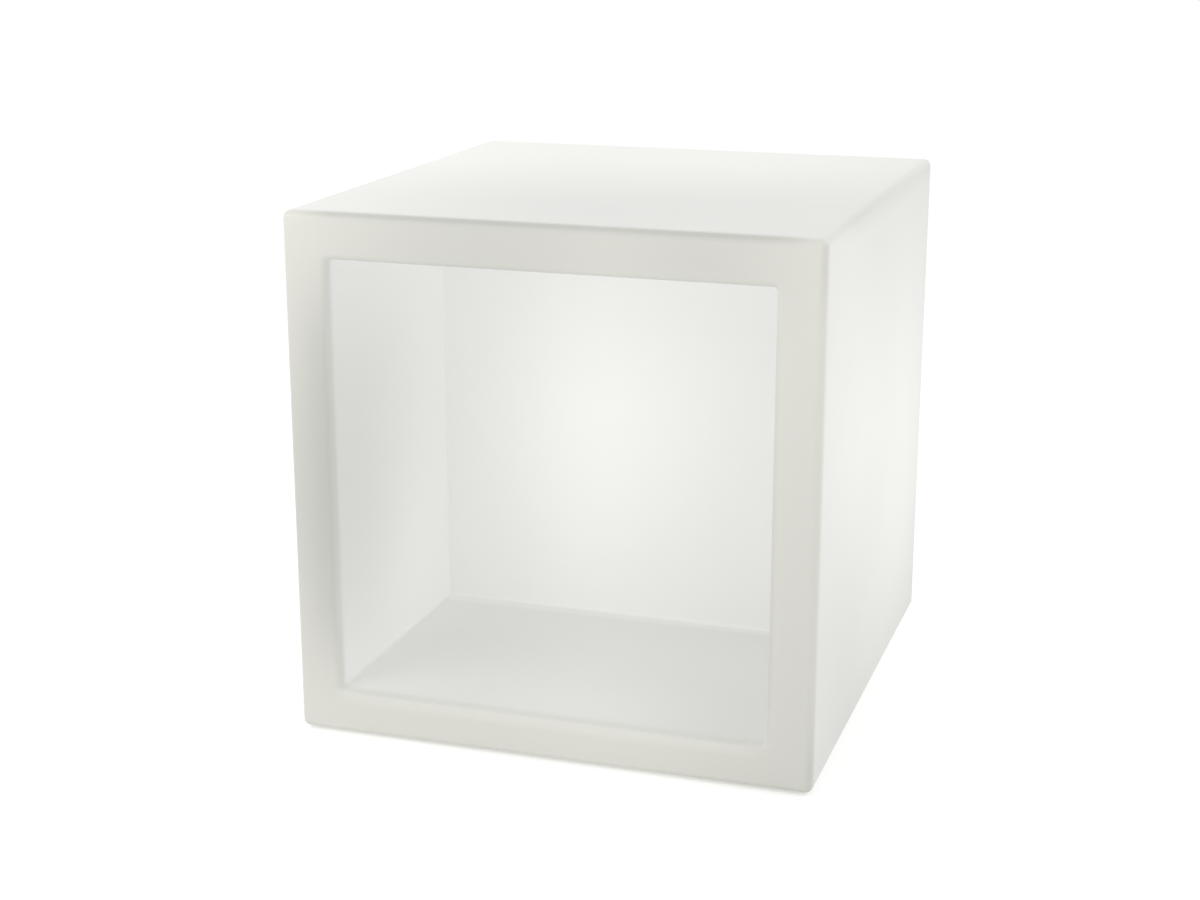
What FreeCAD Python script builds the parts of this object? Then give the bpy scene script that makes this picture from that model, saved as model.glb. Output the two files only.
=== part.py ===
"""An open-fronted light cube for gardens and terraces.

A hollow moulded shell has a display bay in front and a closed lamp compartment behind it. A round
light unit closes the compartment from the rear: a dished cover with a push button and a charging
socket, and behind it a stack of a control board, a battery and an upright lamp under an opal cover.

Millimetres. +X right, +Y back, +Z up, seen from the front. The origin is on the floor, under the
middle of the cube. The light unit is drawn in its own frame, which place_in_shell() carries to the
shell: x to the right as seen from behind, y up, z out of the cube, with z = 0 on the rear face.
"""

import FreeCAD, Part
import math
import os

# ---- Driving dimensions: the moulded shell ---------------------------------------------------
shell_width = 430.0
shell_depth = 450.0
shell_height = 430.0
rim_width = 37.0            # front frame, from an outer side to the bay's wall
bay_depth = 237.0
skin = 3.5                  # wall of the moulding
edge_radius = 6.0           # outer edges
bay_corner_radius = 3.0
mouth_radius = 6.0          # edge between the front frame and the bay's walls
recess_edge_radius = 2.0
port_diameter = 146.0       # hole that the light unit goes in by

# ---- Driving dimensions: feet -----------------------------------------------------------------
foot_diameter = 26.0
foot_stand = 2.0            # how far a foot stands below the shell
foot_pocket_depth = 2.5
foot_inset = 45.0           # foot axis from the shell's sides
foot_chamfer = 1.0
foot_web = 1.5              # rubber under a foot screw's head
foot_screw_length = 9.0

# ---- Driving dimensions: screws, inserts and fits ---------------------------------------------
screw_diameter = 4.0
small_screw_diameter = 3.0
head_share = 2.0            # screw head's radius, as a share of the screw's
head_height_share = 1.1     # its height
dome_share = 0.8            # rounding of its rim, as a share of its height
socket_share = 1.25         # its hexagon, across flats, as a share of the screw's radius
socket_depth_share = 0.65   # the hexagon's depth, as a share of the head's height
insert_end_gap = 1.0        # screw's end inside its insert
insert_diameter = 7.0
insert_length = 9.0
insert_groove = 0.4         # depth of an insert's two knurl grooves
boss_wall = 3.5             # moulding around an insert
boss_floor = 2.0            # moulding past an insert's end
slip_gap = 0.1              # between pieces that seat in each other
thread_gap = 0.05           # between a screw and its thread
pocket_gap = 1.0            # around a piece that drops into a moulded pocket
key_gap = 0.3               # around pieces that move
reach = 1.0                 # how far a cutting shape runs past what it cuts

# ---- Driving dimensions: the cover and what is mounted in its dish ----------------------------
cover_set_back = 0.4        # below the shell's rear face
flange_thickness = 6.0
gasket_thickness = 1.6
gasket_width = 4.5
gasket_inset = 0.5          # gasket's inner edge from the port's
cover_screw_count = 6
cover_screw_angle = 90.0
washer_thickness = 0.6
washer_margin = 0.5         # washer's radius beyond its screw head's
counterbore_gap = 0.25
head_sink = 0.3             # screw heads below the flange
cover_edge_radius = 1.0
cover_land = 2.0            # flange outside its screws
cover_wall = 2.5
dish_rim = 5.0              # flat ring between the dish's mouth and the spigot
dish_mouth_rounding = 1.5
dish_floor_rounding = 2.0
dish_depth = 14.0
dish_slope = 8.0            # how much wider the dish is at its mouth than at its floor
spigot_wall = 2.8
spigot_length = 13.6        # below the flange
post_diameter = 11.0
post_length = 15.6          # below the flange
post_inset = 2.5            # between a post and the spigot
post_count = 4
post_angle = 45.0

button_offset = 27.0        # button left and socket right of the middle
button_bezel_diameter = 19.0
button_barrel_diameter = 15.8
button_barrel_length = 18.0
button_diameter = 12.0
button_stand = 2.6          # button above its bezel
button_travel = 2.0
button_head_length = 5.6
button_stem_diameter = 4.0
button_edge_radius = 0.9
button_dimple_radius = 13.0
button_dimple_depth = 0.5
spring_spare = 1.0          # spring height left when the button is fully in
spring_wire = 0.8
spring_mean_diameter = 7.6
spring_turns = 4
switch_block_length = 6.0
switch_block_step = 0.6     # block's radius inside the barrel's
lug_width = 2.4
lug_thickness = 0.6
lug_length = 4.0
lug_offset = 3.5            # lug from the button's axis

bezel_height = 2.2
bezel_edge_radius = 0.8
seal_thickness = 0.8
seal_margin = 0.5           # seal's edge inside its bezel's
nut_thickness = 3.0
nut_flat_margin = 1.6       # flat of a nut beyond its barrel

socket_drop = 6.0           # charging socket below the middle, room for its cap's strap above
socket_bezel_diameter = 15.0
socket_barrel_diameter = 12.0
socket_barrel_length = 16.0
socket_bore_diameter = 6.4
socket_bore_depth = 10.0
socket_pin_diameter = 2.1
socket_shank_diameter = 2.6  # the pin's thicker part, in the insulator
socket_pin_recess = 1.0
pin_tip_share = 0.6         # rounding of the pin's tip, as a share of its radius
socket_shell_lug = 4.2      # second wire from the socket's axis

cap_diameter = 18.0
cap_thickness = 3.0
cap_spigot_outer = 5.8
cap_spigot_inner = 4.4
cap_spigot_length = 3.0
cap_edge_radius = 1.0
strap_width = 7.0
strap_thickness = 1.6
strap_length = 15.0         # socket axis to the strap's bend
bend_spacing = 2.2          # between the round ends that meet at the bend
anchor_length = 9.0
anchor_corner_radius = 2.0
anchor_shelf = 2.0          # how far the strap's fixed end reaches out from its pad
anchor_stud_diameter = 4.0
anchor_stud_length = 2.5    # below the cover's wall
barb_height = 1.4
barb_margin = 0.9           # barb's radius beyond the stud's
pull_tab_length = 5.0

vent_height = 34.0          # vent above the middle
vent_head_diameter = 16.0
vent_head_height = 3.6
vent_barrel_diameter = 12.0
vent_barrel_length = 10.0
vent_bore_diameter = 6.0
vent_slots = 6
vent_slot_width = 1.4
vent_slot_height = 1.2
vent_slot_rise = 0.8        # slots above the vent's seal
membrane_diameter = 8.4
membrane_depth = 2.0
membrane_thickness = 0.5
lens_diameter = 5.0
lens_stand = 1.2
lens_edge_radius = 1.0

# ---- Driving dimensions: the stack behind the cover -------------------------------------------
board_chips = [             # x, y, width, depth and height of each chip
    (0.0, -16.0, 12.0, 12.0, 1.6),
    (16.0, -26.0, 10.0, 8.0, 1.8),
    (-38.0, -6.0, 8.0, 6.0, 1.4),
    (40.0, -12.0, 5.0, 5.0, 1.2),
]
board_cans = [              # x, y, diameter and height of the coil and the capacitors
    (-16.0, -34.0, 13.0, 6.0),
    (2.0, -42.0, 8.0, 9.0),
    (12.0, -42.0, 8.0, 9.0),
]
hex_flats = 7.0
lug_room = 7.0              # from the switch's lugs to the board
clamp_room = 4.1            # from the battery's clamp to the board
standoff_stud_length = 6.0
stud_hole_spare = 1.0       # thread past a stud's end
chassis_screw_length = 7.0
thread_set_back = 0.3       # a short screw's end inside the plate that it is threaded into
board_margin = 4.0          # board's edge inside the spigot
board_thickness = 1.6
can_edge_radius = 0.9
header_length = 9.0         # wire connectors on the board
header_width = 6.0
header_height = 5.0
header_height_up = 18.0     # connectors above the middle, on the cover's side
header_clearance = 9.0      # battery's connector beyond the tray
lead_shift = 2.0            # between a connector's middle and each of its two wires
status_light_side = 3.2
status_light_height = 1.0
receiver_width = 8.0
receiver_length = 5.0
receiver_height = 7.0
receiver_dome_radius = 2.4
receiver_inset = 19.0       # receiver's far end from the board's edge
plate_thickness = 2.0
plate_margin = 4.0          # plate's edge inside the port's edge

cell_diameter = 18.4
cell_length = 65.2
cell_count = 3
cell_spacing = 0.8
knob_share = 0.6            # raised end of a cell, as a share of its diameter
knob_length = 1.0
contact_thickness = 0.5
contact_low = 4.0           # contact strips below and above the cells' axes
contact_high = 3.0
contact_inset = 3.0
tray_corner_radius = 2.0
tray_wall = 1.6
tray_side_height = 12.0
clamp_width = 12.0
clamp_thickness = 1.5
clamp_foot = 8.0
clamp_bend_radius = 2.5

carrier_width = 26.0
carrier_depth = 18.0
carrier_wall = 2.0
carrier_edge_radius = 1.0
carrier_screw_gap = 0.5     # between the battery clamp's foot and the carrier's screws
strip_width = 12.0
strip_thickness = 1.2
strip_inset = 2.0           # strip's end inside the carrier's
chip_side = 5.0
chip_height = 1.5
chip_well_share = 0.38      # radius of a chip's well, as a share of its side
chip_well_depth = 0.4
chip_pitch = 17.0

opal_width = 54.0
opal_straight = 6.0         # straight part of the opal cover's sides, up to its round front
opal_wall = 2.0
opal_port_gap = 3.0         # opal cover's corners inside the plate's edge
opal_inside_gap = 6.0       # carrier's end to the opal cover's end wall
ear_width = 10.0
ear_height = 14.0
ear_thickness = 3.0
ear_corner_radius = 3.0

arc_share = 0.45            # part of the shorter run that a wire's bend takes
lead_run = 6.0              # a lead's last run, square to its connector
wire_diameter = 1.6
lamp_lead_diameter = 3.6
lamp_lead_inset = 8.0       # lamp lead inside the opal cover's side
lamp_lead_drop = 8.0        # its bend below the plate
lamp_lead_run = 6.0         # its last run, along z
grommet_wall = 1.4
grommet_lip = 1.0
grommet_lip_margin = 1.2

# ---- Worked out from the above ----------------------------------------------------------------
V = FreeCAD.Vector
UP = V(0, 0, 1)

half_width = shell_width / 2
half_depth = shell_depth / 2
shell_floor = foot_stand
shell_top = foot_stand + shell_height
shell_middle = foot_stand + shell_height / 2
bay_half_width = half_width - rim_width
bay_low = shell_floor + rim_width
bay_high = shell_top - rim_width
bay_back = bay_depth - half_depth

screw_radius = screw_diameter / 2
small_screw_radius = small_screw_diameter / 2
washer_radius = head_share * screw_radius + washer_margin
insert_radius = insert_diameter / 2
boss_radius = insert_radius + boss_wall
boss_length = insert_length + thread_gap + boss_floor

foot_radius = foot_diameter / 2
foot_pocket_radius = foot_radius + pocket_gap
foot_pocket_roof = shell_floor + foot_pocket_depth
foot_seat = foot_pocket_roof - foot_web

port_radius = port_diameter / 2
spigot_radius = port_radius - pocket_gap
counterbore_radius = washer_radius + counterbore_gap
counterbore_depth = washer_thickness + head_height_share * screw_radius + head_sink
gasket_inner = port_radius + gasket_inset
gasket_outer = gasket_inner + gasket_width
screw_ring = gasket_outer + counterbore_radius
cover_radius = screw_ring + counterbore_radius + cover_land
recess_radius = cover_radius + pocket_gap
recess_depth = cover_set_back + flange_thickness + gasket_thickness

flange_top = -cover_set_back
flange_bottom = flange_top - flange_thickness
cover_screw_seat = flange_top - counterbore_depth + washer_thickness
dish_floor = -dish_depth
dish_back = dish_floor - cover_wall
spigot_inner = spigot_radius - spigot_wall
dish_mouth_radius = spigot_inner - dish_rim
dish_floor_radius = dish_mouth_radius - dish_slope
post_ring = spigot_inner - post_inset - post_diameter / 2
post_end = flange_bottom - post_length

barrel_top = dish_floor + seal_thickness
bezel_top = barrel_top + bezel_height
button_x = -button_offset
button_radius = button_diameter / 2
button_top = bezel_top + button_stand
button_head_bottom = button_top - button_head_length
button_bore_end = button_head_bottom - button_travel - spring_spare - (spring_turns + 1) * spring_wire
button_barrel_end = barrel_top - button_barrel_length
switch_block_end = button_barrel_end - switch_block_length
lug_end = switch_block_end - lug_length

socket_x = button_offset
socket_y = -socket_drop
socket_barrel_end = barrel_top - socket_barrel_length
socket_pin_radius = socket_pin_diameter / 2
cap_bottom = bezel_top + key_gap
strap_z = cap_bottom + cap_thickness / 2
hinge_y = socket_y + strap_length
anchor_start = hinge_y + bend_spacing
anchor_stud_y = anchor_start + (anchor_shelf + anchor_length) / 2
vent_barrel_end = barrel_top - vent_barrel_length
membrane_top = vent_barrel_end + membrane_depth

board_top = lug_end - lug_room
lower_standoff_length = post_end - board_top
board_bottom = board_top - board_thickness
board_radius = spigot_inner - board_margin
header_end = board_bottom - header_height
battery_height = tray_wall + slip_gap + cell_diameter + key_gap + clamp_thickness
upper_standoff_length = battery_height + clamp_room
plate_back = board_bottom - upper_standoff_length
plate_front = plate_back - plate_thickness
plate_radius = port_radius - plate_margin

cell_pitch = cell_diameter + cell_spacing
tray_half_length = cell_length / 2 + contact_thickness + slip_gap + tray_wall
tray_half_height = cell_count * cell_pitch / 2 + tray_wall
cell_axis = plate_back + tray_wall + slip_gap + cell_diameter / 2
clamp_inner_y = tray_half_height + key_gap
clamp_screw_y = clamp_inner_y + clamp_thickness + clamp_foot / 2
clamp_screw_places = [(0.0, -clamp_screw_y), (0.0, clamp_screw_y)]
carrier_screw_y = clamp_screw_y + clamp_foot / 2 + carrier_screw_gap + head_share * small_screw_radius
carrier_screw_places = [(0.0, -carrier_screw_y), (0.0, carrier_screw_y)]

opal_half_height = math.sqrt((plate_radius - opal_port_gap) ** 2 - (opal_width / 2) ** 2)
carrier_half_height = opal_half_height - opal_wall - opal_inside_gap
carrier_front = plate_front - carrier_depth
strip_half_length = carrier_half_height - strip_inset
chips_per_strip = int((2 * strip_half_length - chip_side) // chip_pitch) + 1

ear_x = (opal_width + ear_width) / 2
ear_y = opal_half_height - ear_height
ear_places = [(-ear_x, -ear_y), (ear_x, -ear_y), (ear_x, ear_y), (-ear_x, ear_y)]

cover_headers = [(button_x, header_height_up), (socket_x, header_height_up)]
battery_header = (tray_half_length + header_clearance, header_clearance)
lamp_header = (opal_width / 2 - lamp_lead_inset, -tray_half_height - lamp_lead_inset)
grommet_neck = lamp_lead_diameter / 2 + grommet_wall


# ---- Small tools --------------------------------------------------------------------------------
def disc(radius, bottom, top, x=0.0, y=0.0):
    """A cylinder along z between two heights."""
    return Part.makeCylinder(radius, top - bottom, V(x, y, bottom), UP)


def ring(outer, inner, bottom, top, x=0.0, y=0.0):
    """A tube along z between two heights."""
    return disc(outer, bottom, top, x, y).cut(disc(inner, bottom, top, x, y))


def block(x_range, y_range, z_range):
    """A box between two values along each axis, given in either order."""
    low = V(min(x_range), min(y_range), min(z_range))
    high = V(max(x_range), max(y_range), max(z_range))
    return Part.makeBox(high.x - low.x, high.y - low.y, high.z - low.z, low)


def middle(centre, width):
    """The range of a width about its centre."""
    return (centre - width / 2, centre + width / 2)


def hexagon(flats, bottom, top, x=0.0, y=0.0):
    """A hexagonal prism along z, by its size across flats."""
    corner_radius = flats / math.sqrt(3)
    angles = [math.radians(60 * k) for k in range(6)]
    corners = [V(x + corner_radius * math.cos(a), y + corner_radius * math.sin(a), bottom) for a in angles]
    face = Part.Face(Part.makePolygon(corners + corners[:1]))
    return face.extrude(V(0, 0, top - bottom))


def turned(points, x=0.0, y=0.0):
    """A solid turned about z from (radius, height) corners."""
    corners = [V(radius, 0, height) for radius, height in points]
    face = Part.Face(Part.makePolygon(corners + corners[:1]))
    solid = face.revolve(V(0, 0, 0), UP, 360)
    solid.translate(V(x, y, 0))
    return solid


def fused(shapes):
    """One solid from several, with its seams cleaned away."""
    return shapes[0].fuse(shapes[1:]).removeSplitter()


def upside_down(shape):
    """Turns a shape over about x, so that what was drawn at (x, -y, -z) comes to (x, y, z)."""
    turned_over = shape.copy()
    turned_over.rotate(V(0, 0, 0), V(1, 0, 0), 180)
    return turned_over


def rounded(shape, radius, wanted):
    """Rounds the edges of a shape for which wanted(edge) is true."""
    edges = [edge for edge in shape.Edges if not edge.Degenerated and wanted(edge)]
    return shape.makeFillet(radius, edges)


def is_same(one, other):
    """Whether two lengths are the same, as far as a drawing goes."""
    return abs(one - other) < 0.01


def on_circle(radius, height):
    """Picks the full circles about z of that radius, at that height."""
    def wanted(edge):
        curve = edge.Curve
        is_circle = isinstance(curve, Part.Circle)
        return is_circle and is_same(curve.Radius, radius) and is_same(curve.Center.z, height)
    return wanted


def along(axis):
    """Picks straight edges that run along one axis."""
    def wanted(edge):
        start, end = edge.Vertexes[0].Point, edge.Vertexes[-1].Point
        return is_same((end - start).cross(axis).Length, 0) and not is_same(edge.Length, 0)
    return wanted


def around(radius, count, first_angle):
    """Places spaced evenly on a circle about z."""
    angles = [math.radians(first_angle + 360 * k / count) for k in range(count)]
    return [(radius * math.cos(a), radius * math.sin(a)) for a in angles]


def in_corners(x, y):
    """The four places at plus and minus x and y, in turn."""
    return [(-x, -y), (x, -y), (x, y), (-x, y)]


def place_in_shell(shape):
    """Carries a shape from the light unit's frame to the rear of the shell."""
    turn = FreeCAD.Rotation(V(0, 1, 1), 180)
    placement = FreeCAD.Placement(V(0, half_depth, shell_middle), turn)
    return shape.transformed(placement.toMatrix(), True)


def save(name, shapes, in_unit=True):
    """Writes one node's solids. in_unit says that they are drawn in the light unit's frame."""
    placed = [place_in_shell(shape) if in_unit else shape for shape in shapes]
    solids = [solid for shape in placed for solid in shape.Solids]
    for solid in solids:
        if not solid.isValid() or solid.Volume <= 0:
            print("PROBLEM", name, "holds a bad solid")
    node = solids[0] if len(solids) == 1 else Part.makeCompound(solids)
    node.exportStep(f"parts/{name}.step")
    print(f"{name}: {len(solids)} solids, {node.Volume:.1f} mm3")


def cap_screw(radius, seat, length, x=0.0, y=0.0):
    """A domed screw with a hexagon socket. Its head stands on the height called seat."""
    head_radius = head_share * radius
    head_height = head_height_share * radius
    top = seat + head_height
    head = rounded(disc(head_radius, seat, top, x, y), dome_share * head_height, on_circle(head_radius, top))
    shank = disc(radius, seat - length, seat, x, y)
    socket = hexagon(socket_share * radius, top - socket_depth_share * head_height, top + reach, x, y)
    return fused([head, shank]).cut(socket)


def threaded_insert(top, x=0.0, y=0.0):
    """A brass insert with two knurl grooves, open at both ends."""
    band = insert_length / 5
    bottom = top - insert_length
    body = ring(insert_radius, screw_radius + thread_gap, bottom, top, x, y)
    for level in (top - 1.5 * band, top - 3.5 * band):
        low, high = middle(level, band)
        body = body.cut(ring(insert_radius + reach, insert_radius - insert_groove, low, high, x, y))
    return body


def bent_wire(points, diameter):
    """A round wire along straight runs joined by tangent arcs."""
    corners = [V(*point) for point in points]
    edges = []
    start = corners[0]
    for before, corner, after in zip(corners, corners[1:], corners[2:]):
        arriving = (corner - before).normalize()
        leaving = (after - corner).normalize()
        half_turn = arriving.getAngle(leaving) / 2
        setback = arc_share * min((corner - before).Length, (after - corner).Length)
        radius = setback / math.tan(half_turn)
        inward = (leaving - arriving).normalize()
        centre = corner + inward * (radius / math.cos(half_turn))
        arc_start = corner - arriving * setback
        arc_end = corner + leaving * setback
        edges.append(Part.LineSegment(start, arc_start).toShape())
        edges.append(Part.Arc(arc_start, centre - inward * radius, arc_end).toShape())
        start = arc_end
    edges.append(Part.LineSegment(start, corners[-1]).toShape())
    path = Part.Wire(edges)
    section = Part.Wire([Part.makeCircle(diameter / 2, corners[0], corners[1] - corners[0])])
    wire = path.makePipeShell([section], True, False)
    expected = path.Length * math.pi * diameter ** 2 / 4
    print(f"wire: volume over section times length {wire.Volume / expected:.4f}")
    return wire


# ---- The moulded shell ----------------------------------------------------------------------------
def rounded_box(inset, radius):
    """The cube's outer form, moved inwards by inset, with all its edges rounded."""
    box = block((inset - half_width, half_width - inset), (inset - half_depth, half_depth - inset),
                (shell_floor + inset, shell_top - inset))
    return box.makeFillet(radius, box.Edges)


def bay_space(growth):
    """The display bay, open through the front. Growth moves its walls outwards."""
    back = bay_back + growth
    radius = bay_corner_radius + growth
    half = bay_half_width + growth
    space = block((-half, half), (-half_depth - 2 * radius, back), (bay_low - growth, bay_high + growth))
    is_along_depth = along(V(0, 1, 0))
    return rounded(space, radius, lambda edge: is_along_depth(edge) or is_same(edge.CenterOfMass.y, back))


def is_bay_mouth(edge):
    """Picks the edges where the bay's walls meet the front face."""
    box = edge.BoundBox
    is_on_front = is_same(box.YMin, -half_depth) and is_same(box.YMax, -half_depth)
    is_in_width = max(-box.XMin, box.XMax) < bay_half_width + reach
    is_in_height = box.ZMin > bay_low - reach and box.ZMax < bay_high + reach
    return is_on_front and is_in_width and is_in_height


def is_recess_rim(edge):
    """Picks the circle where the rear recess meets the rear face."""
    curve = edge.Curve
    return (isinstance(curve, Part.Circle) and is_same(curve.Radius, recess_radius)
            and is_same(curve.Center.y, half_depth))


def foot_places():
    """The four foot axes, as (x, y)."""
    return in_corners(half_width - foot_inset, half_depth - foot_inset)


def cover_screw_places():
    """The cover's screw axes, in the light unit's frame."""
    return around(screw_ring, cover_screw_count, cover_screw_angle)


def shell_hollow():
    """The air inside the moulding: its outer form less a skin around everything moulded into it."""
    hollow = rounded_box(skin, edge_radius - skin)
    hollow = hollow.cut(bay_space(skin))
    hollow = hollow.cut(place_in_shell(disc(recess_radius + skin, -recess_depth - skin, reach)))
    for x, y in cover_screw_places():
        boss = disc(boss_radius, -recess_depth - boss_length, -recess_depth, x, y)
        hollow = hollow.cut(place_in_shell(boss))
    for x, y in foot_places():
        hollow = hollow.cut(disc(foot_pocket_radius + skin, shell_floor, foot_pocket_roof + skin, x, y))
        hollow = hollow.cut(disc(boss_radius, foot_pocket_roof, foot_pocket_roof + boss_length, x, y))
    return hollow


def shell():
    """The hollow one-piece moulding, with its bay, port, rear recess and foot pockets."""
    body = rounded_box(0.0, edge_radius).cut(bay_space(0.0))
    body = rounded(body, mouth_radius, is_bay_mouth)
    body = body.cut(place_in_shell(disc(recess_radius, -recess_depth, reach)))
    body = rounded(body, recess_edge_radius, is_recess_rim)
    for x, y in foot_places():
        body = body.cut(disc(foot_pocket_radius, shell_floor - reach, foot_pocket_roof, x, y))
    moulding = body.cut(shell_hollow())
    moulding = moulding.cut(place_in_shell(disc(port_radius, -recess_depth - skin - reach, 0.0)))
    hole_radius = insert_radius + thread_gap
    hole_depth = insert_length + thread_gap
    for x, y in cover_screw_places():
        moulding = moulding.cut(place_in_shell(disc(hole_radius, -recess_depth - hole_depth, 0.0, x, y)))
    for x, y in foot_places():
        moulding = moulding.cut(disc(hole_radius, shell_floor, foot_pocket_roof + hole_depth, x, y))
    return moulding


# ---- Feet -----------------------------------------------------------------------------------------
def feet():
    """Rubber feet with a sunk hole for their screws."""
    hole = screw_radius + slip_gap
    sink = head_share * screw_radius + pocket_gap
    profile = [(hole, foot_pocket_roof), (foot_radius, foot_pocket_roof), (foot_radius, foot_chamfer),
               (foot_radius - foot_chamfer, 0), (sink, 0), (sink, foot_seat), (hole, foot_seat)]
    return [turned(profile, x, y) for x, y in foot_places()]


def foot_screws():
    """The screws that hold the feet, heads down."""
    return [upside_down(cap_screw(screw_radius, -foot_seat, foot_screw_length, x, -y))
            for x, y in foot_places()]


def foot_inserts():
    """Inserts above the feet."""
    return [upside_down(threaded_insert(-foot_pocket_roof, x, -y)) for x, y in foot_places()]


# ---- The cover and its fasteners ------------------------------------------------------------------
def dish_radius(height):
    """Radius of the dish's sloping wall at a height."""
    return dish_floor_radius + dish_slope * (height - dish_floor) / (flange_top - dish_floor)


def post_places():
    """The axes of the cover's posts and of all that is stacked on them."""
    return around(post_ring, post_count, post_angle)


def cover_holes():
    """What is drilled through the dish's floor, as (x, y, radius)."""
    return [
        (button_x, 0.0, button_barrel_diameter / 2),
        (socket_x, socket_y, socket_barrel_diameter / 2),
        (socket_x, anchor_stud_y, anchor_stud_diameter / 2),
        (0.0, vent_height, vent_barrel_diameter / 2),
        (0.0, 0.0, lens_diameter / 2),
    ]


def service_cover():
    """The dished round cover, with its spigot, posts and mounting holes."""
    slant_wall = cover_wall * math.hypot(dish_slope, dish_depth) / dish_depth
    spigot_end = flange_bottom - spigot_length
    profile = [(0, dish_floor), (dish_floor_radius, dish_floor), (dish_mouth_radius, flange_top),
               (cover_radius, flange_top), (cover_radius, flange_bottom), (spigot_radius, flange_bottom),
               (spigot_radius, spigot_end), (spigot_inner, spigot_end), (spigot_inner, flange_bottom),
               (dish_radius(flange_bottom) + slant_wall, flange_bottom),
               (dish_radius(dish_back) + slant_wall, dish_back), (0, dish_back)]
    body = turned(profile)
    body = rounded(body, dish_mouth_rounding, on_circle(dish_mouth_radius, flange_top))
    body = rounded(body, dish_floor_rounding, on_circle(dish_floor_radius, dish_floor))
    body = rounded(body, cover_edge_radius, on_circle(cover_radius, flange_top))
    dish = turned([(0, dish_floor), (dish_floor_radius, dish_floor), (dish_mouth_radius, flange_top),
                   (0, flange_top)])
    posts = [disc(post_diameter / 2, post_end, flange_bottom + reach, x, y).cut(dish)
             for x, y in post_places()]
    body = fused([body] + posts)
    for x, y in cover_screw_places():
        body = body.cut(disc(screw_radius + slip_gap, flange_bottom - reach, flange_top + reach, x, y))
        body = body.cut(disc(counterbore_radius, flange_top - counterbore_depth, flange_top + reach, x, y))
    stud_hole_end = post_end + standoff_stud_length + stud_hole_spare
    for x, y in post_places():
        body = body.cut(disc(small_screw_radius + thread_gap, post_end - reach, stud_hole_end, x, y))
    for x, y, radius in cover_holes():
        body = body.cut(disc(radius + slip_gap, dish_back - reach, dish_floor + reach, x, y))
    return body


def cover_gasket():
    """The flat ring between the cover's flange and the shell's recess."""
    return ring(gasket_outer, gasket_inner, -recess_depth, flange_bottom)


def cover_washers():
    """A washer in each counterbore."""
    low = cover_screw_seat - washer_thickness
    return [ring(washer_radius, screw_radius + slip_gap, low, cover_screw_seat, x, y)
            for x, y in cover_screw_places()]


def cover_screws():
    """The screws into the shell's inserts."""
    length = cover_screw_seat + recess_depth + insert_length - insert_end_gap
    return [cap_screw(screw_radius, cover_screw_seat, length, x, y) for x, y in cover_screw_places()]


def cover_inserts():
    """Inserts under the cover's screws."""
    return [threaded_insert(-recess_depth, x, y) for x, y in cover_screw_places()]


# ---- What is mounted in the dish ------------------------------------------------------------------
def panel_seal(bezel_diameter, barrel_diameter, x, y):
    """The flat seal under a panel part's bezel."""
    outer = bezel_diameter / 2 - seal_margin
    return ring(outer, barrel_diameter / 2 + slip_gap, dish_floor, barrel_top, x, y)


def panel_nut(barrel_diameter, x, y):
    """The nut behind a panel part."""
    bottom = dish_back - nut_thickness
    nut = hexagon(barrel_diameter + 2 * nut_flat_margin, bottom, dish_back, x, y)
    return nut.cut(disc(barrel_diameter / 2 + thread_gap, bottom, dish_back, x, y))


def panel_body(bezel_diameter, barrel_diameter, barrel_length, x, y, height=bezel_height):
    """A bezel with a rounded rim, and its barrel."""
    top = barrel_top + height
    bezel = disc(bezel_diameter / 2, barrel_top, top, x, y)
    bezel = rounded(bezel, bezel_edge_radius, on_circle(bezel_diameter / 2, top))
    return fused([bezel, disc(barrel_diameter / 2, barrel_top - barrel_length, barrel_top, x, y)])


def button_housing():
    """Bezel and barrel of the push button, with a step under its bore for the stem."""
    body = panel_body(button_bezel_diameter, button_barrel_diameter, button_barrel_length, button_x, 0)
    body = body.cut(disc(button_radius + key_gap, button_bore_end, bezel_top + reach, button_x, 0))
    return body.cut(disc(button_stem_diameter / 2 + key_gap, button_barrel_end, button_bore_end, button_x, 0))


def power_button():
    """The button: a rounded head with a hollow for the fingertip, and a stem down to the switch."""
    head = disc(button_radius, button_head_bottom, button_top, button_x, 0)
    head = rounded(head, button_edge_radius, on_circle(button_radius, button_top))
    centre = V(button_x, 0, button_top + button_dimple_radius - button_dimple_depth)
    head = head.cut(Part.makeSphere(button_dimple_radius, centre))
    stem_end = button_barrel_end + button_travel + key_gap
    return fused([head, disc(button_stem_diameter / 2, stem_end, button_head_bottom, button_x, 0)])


def button_spring():
    """The coil spring between the button's head and the bottom of its bore."""
    low = button_bore_end + spring_wire / 2 + slip_gap
    high = button_head_bottom - spring_wire / 2 - slip_gap
    radius = spring_mean_diameter / 2
    pitch = (high - low) / spring_turns
    helix = Part.makeHelix(pitch, high - low, radius)
    section = Part.Wire([Part.makeCircle(spring_wire / 2, V(radius, 0, 0), V(0, 1, 0))])
    coil = Part.Wire(helix.Edges).makePipeShell([section], True, True)
    coil.translate(V(button_x, 0, low))
    print(f"button_spring: gap between turns {pitch - spring_wire:.2f} mm")
    return coil


def switch_block():
    """The contact block that closes the button's barrel, with its two lugs."""
    radius = button_barrel_diameter / 2 - switch_block_step
    body = disc(radius, switch_block_end, button_barrel_end, button_x, 0)
    body = rounded(body, bezel_edge_radius, on_circle(radius, switch_block_end))
    lugs = [block(middle(button_x + shift, lug_width), middle(0, lug_thickness),
                  (lug_end, switch_block_end + reach)) for shift in (-lug_offset, lug_offset)]
    return fused([body] + lugs)


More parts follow.
